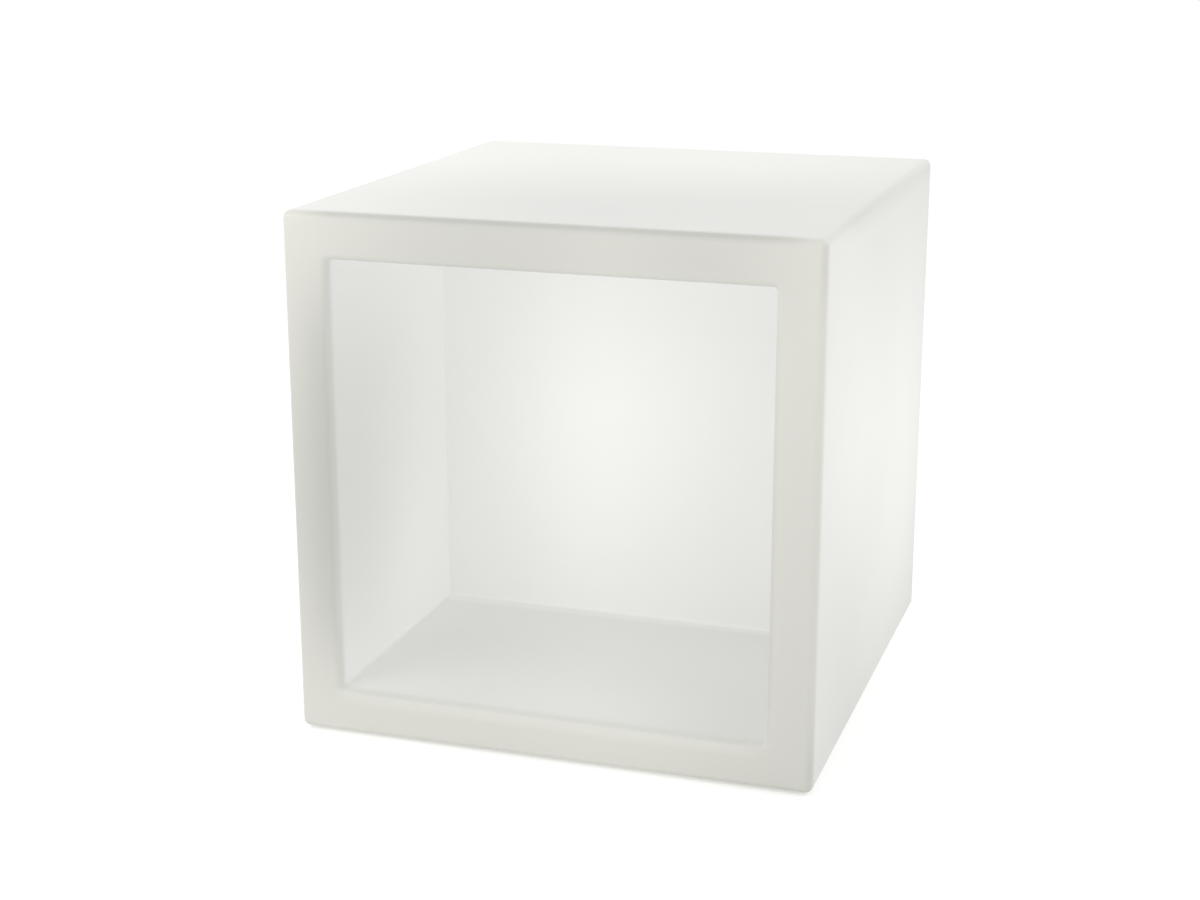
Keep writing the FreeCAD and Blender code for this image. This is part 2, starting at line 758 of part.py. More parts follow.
def charge_socket():
    """Bezel, barrel and rear insulator of the charging socket."""
    body = panel_body(socket_bezel_diameter, socket_barrel_diameter, socket_barrel_length, socket_x, socket_y)
    bore_end = bezel_top - socket_bore_depth
    body = body.cut(disc(socket_bore_diameter / 2, bore_end, bezel_top + reach, socket_x, socket_y))
    shank_hole = socket_shank_diameter / 2 + thread_gap
    return body.cut(disc(shank_hole, socket_barrel_end, bore_end, socket_x, socket_y))


def socket_pin():
    """The socket's centre contact: its tip in the bore, and its shank through the insulator."""
    tip = bezel_top - socket_pin_recess
    shoulder = bezel_top - socket_bore_depth
    pin = disc(socket_pin_radius, shoulder, tip, socket_x, socket_y)
    pin = rounded(pin, pin_tip_share * socket_pin_radius, on_circle(socket_pin_radius, tip))
    shank = disc(socket_shank_diameter / 2, socket_barrel_end - lug_length, shoulder, socket_x, socket_y)
    return fused([pin, shank])


def strap_end(y):
    """The round end of the strap at its bend."""
    left = V(socket_x - strap_width / 2, y, strap_z)
    return Part.makeCylinder(strap_thickness / 2, strap_width, left, V(1, 0, 0))


def port_cap():
    """The soft cap on the socket, with its hollow spigot, pull tab and strap up to the bend."""
    radius = cap_diameter / 2
    top = cap_bottom + cap_thickness
    cap = rounded(disc(radius, cap_bottom, top, socket_x, socket_y), cap_edge_radius, on_circle(radius, top))
    spigot = ring(cap_spigot_outer / 2, cap_spigot_inner / 2, cap_bottom - cap_spigot_length,
                  cap_bottom + cap_thickness / 2, socket_x, socket_y)
    width = middle(socket_x, strap_width)
    height = middle(strap_z, strap_thickness)
    strap = block(width, (socket_y + radius / 2, hinge_y), height)
    tab_end = socket_y - radius - pull_tab_length
    tab = block(width, (tab_end, socket_y - radius / 2), height)
    tab = rounded(tab, anchor_corner_radius,
                  lambda edge: along(UP)(edge) and is_same(edge.CenterOfMass.y, tab_end))
    spigot_room = disc(cap_spigot_inner / 2, cap_bottom - cap_spigot_length, cap_bottom, socket_x, socket_y)
    return fused([cap, spigot, strap, strap_end(hinge_y), tab]).cut(spigot_room)


def cap_anchor():
    """The fixed end of the cap's strap: a pad on the dish floor, with a stud through the cover."""
    shelf_top = strap_z + strap_thickness / 2
    pad_start = anchor_start + anchor_shelf
    far = anchor_start + anchor_length
    width = middle(socket_x, strap_width)
    pad = block(width, (pad_start, far), (dish_floor, shelf_top))
    pad = rounded(pad, anchor_corner_radius,
                  lambda edge: along(UP)(edge) and is_same(edge.CenterOfMass.y, far))
    shelf = block(width, (anchor_start, pad_start + reach), middle(strap_z, strap_thickness))
    stud_radius = anchor_stud_diameter / 2
    stud = disc(stud_radius, dish_back - anchor_stud_length, dish_floor + reach, socket_x, anchor_stud_y)
    barb_top = dish_back - slip_gap
    barb = disc(stud_radius + barb_margin, barb_top - barb_height, barb_top, socket_x, anchor_stud_y)
    return fused([pad, shelf, strap_end(anchor_start), stud, barb])


def vent_plug():
    """The pressure vent: a head with side slots, and a barrel whose bore leads up to them."""
    body = panel_body(vent_head_diameter, vent_barrel_diameter, vent_barrel_length, 0, vent_height,
                      vent_head_height)
    slot_low = barrel_top + vent_slot_rise
    slot_high = slot_low + vent_slot_height
    radius = vent_bore_diameter / 2
    for angle in range(vent_slots):
        slot = block((0, vent_head_diameter), middle(0, vent_slot_width), (slot_low, slot_high))
        slot.rotate(V(0, 0, 0), UP, 360 * angle / vent_slots)
        slot.translate(V(0, vent_height, 0))
        body = body.cut(slot)
    body = body.cut(disc(radius, vent_barrel_end - reach, slot_high, 0, vent_height))
    return body.cut(disc(membrane_diameter / 2, vent_barrel_end - reach, membrane_top, 0, vent_height))


def vent_membrane():
    """The vent's thin disc, in the wide end of its bore."""
    radius = membrane_diameter / 2 - slip_gap
    return disc(radius, membrane_top - membrane_thickness, membrane_top, 0, vent_height)


def indicator_lens():
    """The domed light pipe that shows the state of charge, down to the light on the board."""
    radius = lens_diameter / 2
    top = dish_floor + lens_stand
    lens = disc(radius, board_top + status_light_height + slip_gap, top)
    return rounded(lens, lens_edge_radius, on_circle(radius, top))


# ---- The stack behind the cover -------------------------------------------------------------------
def standoffs(top, length):
    """Hexagonal spacers under the cover's posts, each with a stud up and a threaded hole below."""
    spacers = []
    hole_end = top - length + standoff_stud_length + stud_hole_spare
    for x, y in post_places():
        body = hexagon(hex_flats, top - length, top, x, y)
        stud = disc(small_screw_radius, top, top + standoff_stud_length, x, y)
        hole = disc(small_screw_radius + thread_gap, top - length, hole_end, x, y)
        spacers.append(fused([body, stud]).cut(hole))
    return spacers


def control_board():
    """The round board, with holes for the spacers' studs."""
    body = disc(board_radius, board_bottom, board_top)
    for x, y in post_places():
        body = body.cut(disc(small_screw_radius + slip_gap, board_bottom, board_top, x, y))
    return body


def board_parts():
    """Chips, coil, capacitors, status light and wire connectors on the board."""
    chips = [block(middle(x, width), middle(y, depth), (board_top, board_top + height))
             for x, y, width, depth, height in board_chips]
    cans = []
    for x, y, diameter, height in board_cans:
        can = disc(diameter / 2, board_top, board_top + height, x, y)
        cans.append(rounded(can, can_edge_radius, on_circle(diameter / 2, board_top + height)))
    light = block(middle(0, status_light_side), middle(0, status_light_side),
                  (board_top, board_top + status_light_height))
    upper = [block(middle(x, header_length), middle(y, header_width), (board_top, board_top + header_height))
             for x, y in cover_headers]
    lower = [block(middle(x, header_width), middle(y, header_length), (header_end, board_bottom))
             for x, y in (battery_header, lamp_header)]
    return chips + cans + [light] + upper + lower


def remote_receiver():
    """The domed receiver for the remote control, near the board's upper edge."""
    far = board_radius - receiver_inset
    body = block(middle(0, receiver_width), (far - receiver_length, far),
                 (board_top, board_top + receiver_height))
    dome = Part.makeSphere(receiver_dome_radius, V(0, far, board_top + receiver_height / 2))
    return fused([body, dome])


def chassis_plate():
    """The aluminium plate that carries the battery on one side and the lamp on the other."""
    body = disc(plate_radius, plate_front, plate_back)
    for x, y in post_places():
        body = body.cut(disc(small_screw_radius + slip_gap, plate_front, plate_back, x, y))
    for x, y in clamp_screw_places + carrier_screw_places:
        body = body.cut(disc(small_screw_radius + thread_gap, plate_front, plate_back, x, y))
    for x, y in ear_places:
        body = body.cut(disc(small_screw_radius + thread_gap, plate_front, plate_back, x, y))
    x, y = lamp_header
    return body.cut(disc(grommet_neck + slip_gap, plate_front, plate_back, x, y))


def plate_screw_up(seat, length, x, y):
    """A small screw with its head on the lamp's side, pointing to the rear."""
    return upside_down(cap_screw(small_screw_radius, -seat, length, x, -y))


def chassis_screws():
    """Screws through the plate into the spacers, heads towards the lamp."""
    return [plate_screw_up(plate_front, chassis_screw_length, x, y) for x, y in post_places()]


def battery_tray():
    """The open tray that the cells lie in."""
    floor = plate_back + tray_wall
    rim = floor + tray_side_height
    outer = block(middle(0, 2 * tray_half_length), middle(0, 2 * tray_half_height), (plate_back, rim))
    outer = rounded(outer, tray_corner_radius, along(UP))
    inner_x = tray_half_length - tray_wall
    inner_y = tray_half_height - tray_wall
    return outer.cut(block((-inner_x, inner_x), (-inner_y, inner_y), (floor, rim + reach)))


def battery_cells():
    """The cells, with their raised positive ends."""
    cells = []
    for k in range(cell_count):
        y = cell_pitch * (k - (cell_count - 1) / 2)
        start = V(-cell_length / 2, y, cell_axis)
        can = Part.makeCylinder(cell_diameter / 2, cell_length - knob_length, start, V(1, 0, 0))
        knob = Part.makeCylinder(knob_share * cell_diameter / 2, cell_length, start, V(1, 0, 0))
        cells.append(fused([can, knob]))
    return cells


def battery_contacts():
    """The strips that join the cells at both ends of the tray."""
    inner = cell_length / 2 + slip_gap / 2
    span = tray_half_height - tray_wall - contact_inset
    return [block((side * inner, side * (inner + contact_thickness)), (-span, span),
                  (cell_axis - contact_low, cell_axis + contact_high)) for side in (-1, 1)]


def battery_clamp():
    """The bent strap over the cells, with a foot on each side of the tray."""
    width = middle(0, clamp_width)
    outer_y = clamp_inner_y + clamp_thickness
    inner_z = cell_axis + cell_diameter / 2 + key_gap
    is_across = along(V(1, 0, 0))
    bridge = block(width, (-outer_y, outer_y), (plate_back, inner_z + clamp_thickness))
    bridge = rounded(bridge, clamp_bend_radius,
                     lambda edge: is_across(edge) and edge.CenterOfMass.z > inner_z)
    room = block(middle(0, clamp_width + 2 * reach), (-clamp_inner_y, clamp_inner_y), (plate_back, inner_z))
    room = rounded(room, clamp_bend_radius - clamp_thickness,
                   lambda edge: is_across(edge) and is_same(edge.CenterOfMass.z, inner_z))
    soles = [block(width, (side * clamp_inner_y, side * (outer_y + clamp_foot)),
                   (plate_back, plate_back + clamp_thickness)) for side in (-1, 1)]
    clamp = fused([bridge.cut(room)] + soles)
    for x, y in clamp_screw_places:
        clamp = clamp.cut(disc(small_screw_radius + slip_gap, plate_back, plate_back + clamp_thickness, x, y))
    return clamp


def clamp_screws():
    """Screws through the clamp's feet into the plate."""
    length = clamp_thickness + plate_thickness - thread_set_back
    seat = plate_back + clamp_thickness
    return [cap_screw(small_screw_radius, seat, length, x, y) for x, y in clamp_screw_places]


# ---- The lamp -------------------------------------------------------------------------------------
def lamp_carrier():
    """The aluminium tube that the light strips are stuck to, open at both ends."""
    ends = (-carrier_half_height, carrier_half_height)
    body = block(middle(0, carrier_width), ends, (carrier_front, plate_front))
    body = rounded(body, carrier_edge_radius, along(V(0, 1, 0)))
    body = body.cut(block(middle(0, carrier_width - 2 * carrier_wall), ends,
                          (carrier_front + carrier_wall, plate_front - carrier_wall)))
    for x, y in carrier_screw_places:
        body = body.cut(disc(small_screw_radius + thread_gap, plate_front - carrier_wall, plate_front, x, y))
    return body


def carrier_screws():
    """Screws through the plate into the lamp carrier."""
    length = plate_thickness + carrier_wall - thread_set_back
    return [cap_screw(small_screw_radius, plate_back, length, x, y) for x, y in carrier_screw_places]


def on_carrier_faces(shape):
    """Three copies of a shape drawn on z = 0, laid on the carrier's front and its two sides."""
    half = carrier_width / 2
    level = (plate_front + carrier_front) / 2
    copies = []
    for turn, shift in ((180, V(0, 0, carrier_front)), (-90, V(-half, 0, level)), (90, V(half, 0, level))):
        placed = shape.copy()
        placed.rotate(V(0, 0, 0), V(0, 1, 0), turn)
        placed.translate(shift)
        copies.append(placed)
    return copies


def light_strips():
    """The three long circuit strips."""
    strip = block(middle(0, strip_width), middle(0, 2 * strip_half_length), (0, strip_thickness))
    return on_carrier_faces(strip)


def light_chips():
    """The light chips, evenly spaced along each strip, each with its round well."""
    chips = []
    top = strip_thickness + chip_height
    for k in range(chips_per_strip):
        y = chip_pitch * (k - (chips_per_strip - 1) / 2)
        chip = block(middle(0, chip_side), middle(y, chip_side), (strip_thickness, top))
        well = disc(chip_well_share * chip_side, top - chip_well_depth, top, 0, y)
        chips += on_carrier_faces(chip.cut(well))
    return chips


def opal_trough(inset, floor):
    """A trough with straight sides and a half-round front, closed at its ends."""
    half = opal_width / 2 - inset
    end = inset - opal_half_height
    straight_end = plate_front - opal_straight
    outline = Part.Wire([
        Part.LineSegment(V(-half, end, floor), V(-half, end, straight_end)).toShape(),
        Part.Arc(V(-half, end, straight_end), V(0, end, straight_end - half),
                 V(half, end, straight_end)).toShape(),
        Part.LineSegment(V(half, end, straight_end), V(half, end, floor)).toShape(),
        Part.LineSegment(V(half, end, floor), V(-half, end, floor)).toShape(),
    ])
    return Part.Face(outline).extrude(V(0, -2 * end, 0))


def opal_ear(x, y):
    """One screw ear on the side of the opal cover."""
    side = math.copysign(1, x)
    far = side * (opal_width / 2 + ear_width)
    ear = block((side * (opal_width - opal_wall) / 2, far), middle(y, ear_height),
                (plate_front - ear_thickness, plate_front))
    return rounded(ear, ear_corner_radius, lambda edge: along(UP)(edge) and is_same(edge.CenterOfMass.x, far))


def opal_cover():
    """The milky cover over the lamp, with four ears for its screws."""
    body = fused([opal_trough(0.0, plate_front)] + [opal_ear(x, y) for x, y in ear_places])
    body = body.cut(opal_trough(opal_wall, plate_front + reach))
    for x, y in ear_places:
        body = body.cut(disc(small_screw_radius + slip_gap, plate_front - ear_thickness, plate_front, x, y))
    return body


def opal_screws():
    """Screws through the opal cover's ears into the plate."""
    length = ear_thickness + plate_thickness - thread_set_back
    return [plate_screw_up(plate_front - ear_thickness, length, x, y) for x, y in ear_places]


# ---- Wires inside the light unit ------------------------------------------------------------------
def button_lead():
    """Two wires from the switch's lugs to their connector on the board."""
    header_x, header_y = cover_headers[0]
    level = board_top + header_height / 2
    face = header_y - header_width / 2 - slip_gap
    wires = []
    for side in (-1, 1):
        lug_x = button_x + side * lug_offset
        end_x = header_x + side * lead_shift
        wires.append(bent_wire([(lug_x, 0, lug_end - slip_gap), (lug_x, 0, level),
                                (end_x, face - lead_run, level), (end_x, face, level)], wire_diameter))
    return wires


def charge_lead():
    """Two wires from the socket's pin and shell to their connector on the board."""
    header_x, header_y = cover_headers[1]
    level = board_top + header_height / 2
    face = header_y - header_width / 2 - slip_gap
    ends = ((socket_x, socket_barrel_end - lug_length, header_x + lead_shift),
            (socket_x - socket_shell_lug, socket_barrel_end, header_x - lead_shift))
    return [bent_wire([(start_x, socket_y, start - slip_gap), (start_x, socket_y, level),
                       (end_x, face - lead_run, level), (end_x, face, level)], wire_diameter)
            for start_x, start, end_x in ends]


def battery_lead():
    """Two wires from the end of the tray, round to the back of the board."""
    x, y = battery_header
    start = tray_half_length + slip_gap
    return [bent_wire([(start, y + shift, cell_axis), (x, y + shift, cell_axis),
                       (x, y + shift, header_end - slip_gap)], wire_diameter)
            for shift in (-lead_shift, lead_shift)]


def lamp_lead():
    """The lead from the back of the board, through the plate, to the strip beside it."""
    x, y = lamp_header
    strip_face = carrier_width / 2 + strip_thickness
    end_x = strip_face + lamp_lead_diameter / 2 + slip_gap
    offset = chip_pitch / 2 * (chips_per_strip % 2)
    between_chips = chip_pitch * round((y - offset) / chip_pitch) + offset
    bend = plate_front - lamp_lead_drop
    return bent_wire([(x, y, header_end - slip_gap), (x, y, bend),
                      (end_x, between_chips, bend - lamp_lead_run)], lamp_lead_diameter)


def lead_grommet():
    """The rubber ring that protects the lamp lead in the plate."""
    x, y = lamp_header
    inner = lamp_lead_diameter / 2 + slip_gap
    low = plate_front - grommet_lip
    high = plate_back + grommet_lip
    lip_radius = grommet_neck + grommet_lip_margin
    return fused([ring(grommet_neck, inner, low, high, x, y), ring(lip_radius, inner, plate_back, high, x, y),
                  ring(lip_radius, inner, low, plate_front, x, y)])


# ---- Build ----------------------------------------------------------------------------------------
def main():
    """Builds and writes every node."""
    os.makedirs("parts", exist_ok=True)
    save("shell", [shell()], in_unit=False)
    save("feet", feet(), in_unit=False)
    save("foot_screws", foot_screws(), in_unit=False)
    save("foot_inserts", foot_inserts(), in_unit=False)

    save("service_cover", [service_cover()])
    save("cover_gasket", [cover_gasket()])
    save("cover_washers", cover_washers())
    save("cover_screws", cover_screws())
    save("cover_inserts", cover_inserts())

    save("button_housing", [button_housing()])
    save("power_button", [power_button()])
    save("button_spring", [button_spring()])
    save("button_seal", [panel_seal(button_bezel_diameter, button_barrel_diameter, button_x, 0)])
    save("button_nut", [panel_nut(button_barrel_diameter, button_x, 0)])
    save("switch_block", [switch_block()])
    save("charge_socket", [charge_socket()])
    save("socket_pin", [socket_pin()])
    save("socket_seal", [panel_seal(socket_bezel_diameter, socket_barrel_diameter, socket_x, socket_y)])
    save("socket_nut", [panel_nut(socket_barrel_diameter, socket_x, socket_y)])
    save("port_cap", [port_cap()])
    save("cap_anchor", [cap_anchor()])
    save("vent_plug", [vent_plug()])
    save("vent_seal", [panel_seal(vent_head_diameter, vent_barrel_diameter, 0, vent_height)])
    save("vent_nut", [panel_nut(vent_barrel_diameter, 0, vent_height)])
    save("vent_membrane", [vent_membrane()])
    save("indicator_lens", [indicator_lens()])

    save("lower_standoffs", standoffs(post_end, lower_standoff_length))
    save("control_board", [control_board()])
    save("board_parts", board_parts())
    save("remote_receiver", [remote_receiver()])
    save("upper_standoffs", standoffs(board_bottom, upper_standoff_length))
    save("chassis_plate", [chassis_plate()])
    save("chassis_screws", chassis_screws())
    save("battery_tray", [battery_tray()])
    save("battery_cells", battery_cells())
    save("battery_contacts", battery_contacts())
    save("battery_clamp", [battery_clamp()])
    save("clamp_screws", clamp_screws())

    save("lamp_carrier", [lamp_carrier()])
    save("carrier_screws", carrier_screws())
    save("light_strips", light_strips())
    save("light_chips", light_chips())
    save("opal_cover", [opal_cover()])
    save("opal_screws", opal_screws())

    save("button_lead", button_lead())
    save("charge_lead", charge_lead())
    save("battery_lead", battery_lead())
    save("lamp_lead", [lamp_lead()])
    save("lead_grommet", [lead_grommet()])


main()
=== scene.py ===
import logging
import math
from collections.abc import Callable, Iterable, Sequence
from dataclasses import dataclass
from enum import Enum
from typing import Union

import bmesh
import bpy
from mathutils import Matrix, Vector


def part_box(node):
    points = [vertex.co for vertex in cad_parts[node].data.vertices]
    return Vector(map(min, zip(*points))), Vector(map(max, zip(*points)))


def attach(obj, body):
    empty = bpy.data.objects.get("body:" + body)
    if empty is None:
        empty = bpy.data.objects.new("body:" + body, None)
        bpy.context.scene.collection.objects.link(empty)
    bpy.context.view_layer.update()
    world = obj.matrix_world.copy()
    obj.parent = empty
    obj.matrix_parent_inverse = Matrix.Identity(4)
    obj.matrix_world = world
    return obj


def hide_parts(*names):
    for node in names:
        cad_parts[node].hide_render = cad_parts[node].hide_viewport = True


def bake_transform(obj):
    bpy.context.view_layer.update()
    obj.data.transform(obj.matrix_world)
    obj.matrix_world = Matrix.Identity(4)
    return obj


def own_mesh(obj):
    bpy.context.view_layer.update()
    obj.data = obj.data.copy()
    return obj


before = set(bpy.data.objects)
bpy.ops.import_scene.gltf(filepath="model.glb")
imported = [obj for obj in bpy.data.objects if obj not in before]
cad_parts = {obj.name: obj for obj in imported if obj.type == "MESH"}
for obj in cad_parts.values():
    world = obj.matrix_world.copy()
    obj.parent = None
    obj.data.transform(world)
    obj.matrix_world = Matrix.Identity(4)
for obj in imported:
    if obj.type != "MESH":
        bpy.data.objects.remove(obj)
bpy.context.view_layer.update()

MM = 0.001
TOUCH = 1e-6  # points this close together are one point
FLUSH = 10 * TOUCH  # points this close to a plane lie in it
SHARP = 1.0  # faces that turn by more than this, in radians, meet in a sharp edge
PROFILE_STEPS = 4  # steps of a rounded corner in a turned profile
RANK = Vector((1.0, math.e, math.pi))  # ranks points, so that each run gives the same order
WHITE = (1.0, 1.0, 1.0)
SQUARE = ((-1, -1), (1, -1), (1, 1), (-1, 1))  # the corners of a square, in turn

Triple = tuple[float, float, float]
Span = tuple[float, float]
Socket = bpy.types.NodeSocket
Material = bpy.types.Material
Piece = bpy.types.Object
Edge = bmesh.types.BMEdge
Vert = bmesh.types.BMVert
Input = Union["Signal", Socket, tuple[float, ...], float]

log = logging.getLogger("light_cube")


class Axis(Enum):
    """The three directions of the cube's own frame."""

    ACROSS = 0
    DEEP = 1
    UP = 2

    @property
    def direction(self) -> Vector:
        """The unit vector along this axis."""
        return Vector([float(k == self.value) for k in range(3)])


class Body(Enum):
    """The bodies that pieces ride on."""

    CUBE = "cube"
    BUTTON = "power_button"
    CAP = "port_cap"


class Slot(Enum):
    """The record's material slots, by name."""

    SHELL = "shell"
    RUBBER = "rubber"
    SPRING_STEEL = "spring_steel"
    BUTTON_METAL = "button_metal"


class Polish(Enum):
    """How the polishing lines of a metal run, as the scale of each axis."""

    ALONG_X = (0.06, 1.0, 1.0)
    ALONG_Z = (1.0, 1.0, 0.06)
    TURNED = (1.0, 0.05, 1.0)


class Rounding(Enum):
    """What a bevel rounds."""

    EDGES = "EDGES"
    CORNERS = "VERTICES"


# ---- Shader maths ----------------------------------------------------------------------------
class Signal:
    """A number that varies over a surface: a shader socket that takes part in Python arithmetic."""

    def __init__(self, graph: "Graph", socket: Socket) -> None:
        """Keeps the socket and the graph that it belongs to."""
        self.graph = graph
        self.socket = socket

    def __add__(self, other: Input) -> "Signal":
        """Sum."""
        return self.graph.number("ADD", self, other)

    def __radd__(self, other: Input) -> "Signal":
        """Sum with a plain number on the left."""
        return self.graph.number("ADD", other, self)

    def __sub__(self, other: Input) -> "Signal":
        """Difference."""
        return self.graph.number("SUBTRACT", self, other)

    def __rsub__(self, other: Input) -> "Signal":
        """Difference with a plain number on the left."""
        return self.graph.number("SUBTRACT", other, self)

    def __mul__(self, other: Input) -> "Signal":
        """Product."""
        return self.graph.number("MULTIPLY", self, other)

    def __rmul__(self, other: Input) -> "Signal":
        """Product with a plain number on the left."""
        return self.graph.number("MULTIPLY", other, self)

    def __truediv__(self, other: Input) -> "Signal":
        """Quotient."""
        return self.graph.number("DIVIDE", self, other)

    def __rtruediv__(self, other: Input) -> "Signal":
        """Quotient with a plain number on the left."""
        return self.graph.number("DIVIDE", other, self)

    def __abs__(self) -> "Signal":
        """Size without its sign."""
        return self.graph.number("ABSOLUTE", self)

    def at_least(self, other: Input) -> "Signal":
        """The larger of two."""
        return self.graph.number("MAXIMUM", self, other)

    def rise(self, start: float, end: float) -> "Signal":
        """A smooth step from 0 to 1. With start above end it falls towards higher values.

        Args:
            start: the value at which the step is still 0.
            end: the value from which it is 1.

        Returns:
            The step.
        """
        ends = (0.0, 1.0) if start < end else (1.0, 0.0)
        made = self.graph.node(
            "ShaderNodeMapRange", {"interpolation_type": "SMOOTHSTEP"},
            {"Value": self, "From Min": min(start, end), "From Max": max(start, end),
             "To Min": ends[0], "To Max": ends[1]})
        return Signal(self.graph, made.outputs["Result"])

    def bell(self, centre: float, width: float) -> "Signal":
        """1 at the centre, fading to 0 a width away on either side."""
        return abs(self - centre).rise(width, 0.0)

    def around(self, middle: Input, spread: float) -> "Signal":
        """This noise from 0 to 1, turned into one that varies around a middle by a spread."""
        return middle + spread * (self - 0.5)

    def toward(self, other: "Signal", share: "Signal") -> "Signal":
        """This signal where the share is 0, and the other where it is 1."""
        return self.graph.number("MULTIPLY_ADD", share, other - self, self)


class Graph:
    """The node graph of one material, or of the world."""

    def __init__(self, owner: Union[Material, bpy.types.World]) -> None:
        """Starts an empty graph.

        Args:
            owner: the material or the world that it belongs to.
        """
        self.owner = owner
        owner.use_nodes = True
        self.tree = owner.node_tree
        self.tree.nodes.clear()

    def node(self, kind: str, settings: dict[str, object] | None = None,
             inputs: dict[str | int, Input] | None = None) -> bpy.types.Node:
        """Adds a node.

        Args:
            kind: the node's type name.
            settings: its properties, set before its sockets.
            inputs: a value, a Signal or a socket for each socket, by name or number.

        Returns:
            The node.
        """
        made = self.tree.nodes.new(kind)
        for key, value in (settings or {}).items():
            setattr(made, key, value)
        for key, value in (inputs or {}).items():
            if isinstance(value, Signal):
                value = value.socket
            if isinstance(value, Socket):
                self.tree.links.new(value, made.inputs[key])
            else:
                made.inputs[key].default_value = value
        return made

    def number(self, operation: str, *values: Input) -> Signal:
        """One Math node on one to three values."""
        made = self.node("ShaderNodeMath", {"operation": operation}, dict(enumerate(values)))
        return Signal(self, made.outputs[0])

    def vectors(self, operation: str, inputs: dict[str | int, Input]) -> bpy.types.Node:
        """One Vector Math node."""
        return self.node("ShaderNodeVectorMath", {"operation": operation}, inputs)

    def point(self) -> Socket:
        """The surface point in the cube's frame, in metres, as one vector socket."""
        return self.node("ShaderNodeTexCoord").outputs["Object"]

    def place(self) -> tuple[Signal, Signal, Signal]:
        """The surface point's three coordinates."""
        parts = self.node("ShaderNodeSeparateXYZ", inputs={0: self.point()})
        return tuple(Signal(self, parts.outputs[k]) for k in range(3))

    def seen(self) -> Signal:
        """What the camera sees directly, in a reflection or through glass.

        Returns:
            1 for what is seen, and 0 for what only lights.
        """
        path = self.node("ShaderNodeLightPath")
        camera, glossy, glass = (Signal(self, path.outputs[f"Is {kind} Ray"])
                                 for kind in ("Camera", "Glossy", "Transmission"))
        return camera.at_least(glossy).at_least(glass)

    def noise(self, size: float, detail: float = 2.0, stretch: Triple = (1.0, 1.0, 1.0)) -> Signal:
        """Cloudy noise from 0 to 1.

        Args:
            size: the size of its spots, in metres.
            detail: how many finer layers it has.
            stretch: scale of each axis, below 1 to draw the spots out along it.

        Returns:
            The noise.
        """
        stretched = self.vectors("MULTIPLY", {0: self.point(), 1: stretch}).outputs["Vector"]
        made = self.node("ShaderNodeTexNoise", {"noise_dimensions": "3D"},
                         {"Vector": stretched, "Scale": 1.0 / size, "Detail": detail,
                          "Roughness": 0.55})
        return Signal(self, made.outputs["Fac"])

    def cells(self, size: float) -> Signal:
        """Distance to the nearest of scattered points, in units of their spacing."""
        made = self.node("ShaderNodeTexVoronoi", {"feature": "F1"},
                         {"Vector": self.point(), "Scale": 1.0 / size})
        return Signal(self, made.outputs["Distance"])

    def colours(self, factor: Input, first: Input, second: Input) -> Socket:
        """A colour between two, by a factor from 0 to 1."""
        made = self.node("ShaderNodeMix", {"data_type": "RGBA", "clamp_factor": True},
                         {"Factor": factor, 6: opaque(first), 7: opaque(second)})
        return made.outputs[2]

    def scaled(self, colour: Input, amount: Signal) -> Socket:
        """A colour times an amount that varies."""
        return self.vectors("SCALE", {0: colour, "Scale": amount}).outputs["Vector"]

    def relief(self, height: Signal, depth: float) -> Socket:
        """A normal from a height that goes from 0 to 1 over a depth in metres."""
        made = self.node("ShaderNodeBump", inputs={"Distance": depth, "Height": height})
        return made.outputs["Normal"]


def opaque(colour: Input) -> Input:
    """A plain colour with its alpha, or a socket as it is."""
    return (*colour, 1.0) if isinstance(colour, tuple) else colour


def shaded(colour: Triple, share: float) -> Triple:
    """A colour times a share, at most white."""
    return tuple(min(1.0, part * share) for part in colour)


# ---- Finishes --------------------------------------------------------------------------------
class Finish:
    """How a surface looks: each kind fills in the shader's sockets in its own way."""

    def sockets(self, graph: Graph) -> dict[str, Input]:
        """What goes into the Principled shader's sockets, by their names."""
        raise NotImplementedError

    def dress(self, name: str) -> Material:
        """Makes the material.

        Args:
            name: the material's name.

        Returns:
            The material.
        """
        graph = Graph(bpy.data.materials.new(name))
        shader = graph.node("ShaderNodeBsdfPrincipled", inputs=self.sockets(graph))
        graph.node("ShaderNodeOutputMaterial", inputs={"Surface": shader.outputs[0]})
        return graph.owner


@dataclass(frozen=True)
class Pool:
    """A soft round pool of painted light, or of painted shade below 0, on a wall."""

    centre: Triple
    reach: float
    level: float


@dataclass(frozen=True)
class Streak:
    """A soft straight band of painted light or painted shade, fading out towards its ends."""

    axis: Axis
    centre: float
    reach: float
    level: float
    ends: Span


@dataclass(frozen=True)
class Wall:
    """The painted light on one side of the moulding: a glow standing in for the lamp's light
    through it, with pools and streaks of painted light and painted shade.
    """

    level: float
    slope: Triple
    pools: tuple[Pool, ...]
    streaks: tuple[Streak, ...] = ()

    def glow(self, graph: Graph, point: Socket, middle: Triple) -> Signal:
        """The painted light at each point of the wall.

        Args:
            graph: the material's graph.
            point: the surface point.
            middle: the cube's middle, where the slopes start.

        Returns:
            The painted light: a level, its slope per metre, and the pools and streaks.
        """
        start = self.level - sum(s * m for s, m in zip(self.slope, middle))
        sloped = graph.vectors("DOT_PRODUCT", {0: point, 1: self.slope})
        light = Signal(graph, sloped.outputs["Value"]) + start
        for pool in self.pools:
            away = graph.vectors("DISTANCE", {0: point, 1: pool.centre})
            fade = Signal(graph, away.outputs["Value"]).rise(pool.reach, 0.0)
            light = light + fade * pool.level
        place = graph.place()
        for streak in self.streaks:
            across, along = streak.axis.value, Axis.UP.value - streak.axis.value
            fade = abs(place[along] - middle[along]).rise(streak.ends[1], streak.ends[0])
            band = place[across].bell(streak.centre, streak.reach)
            light = light + band * fade * streak.level
        return light


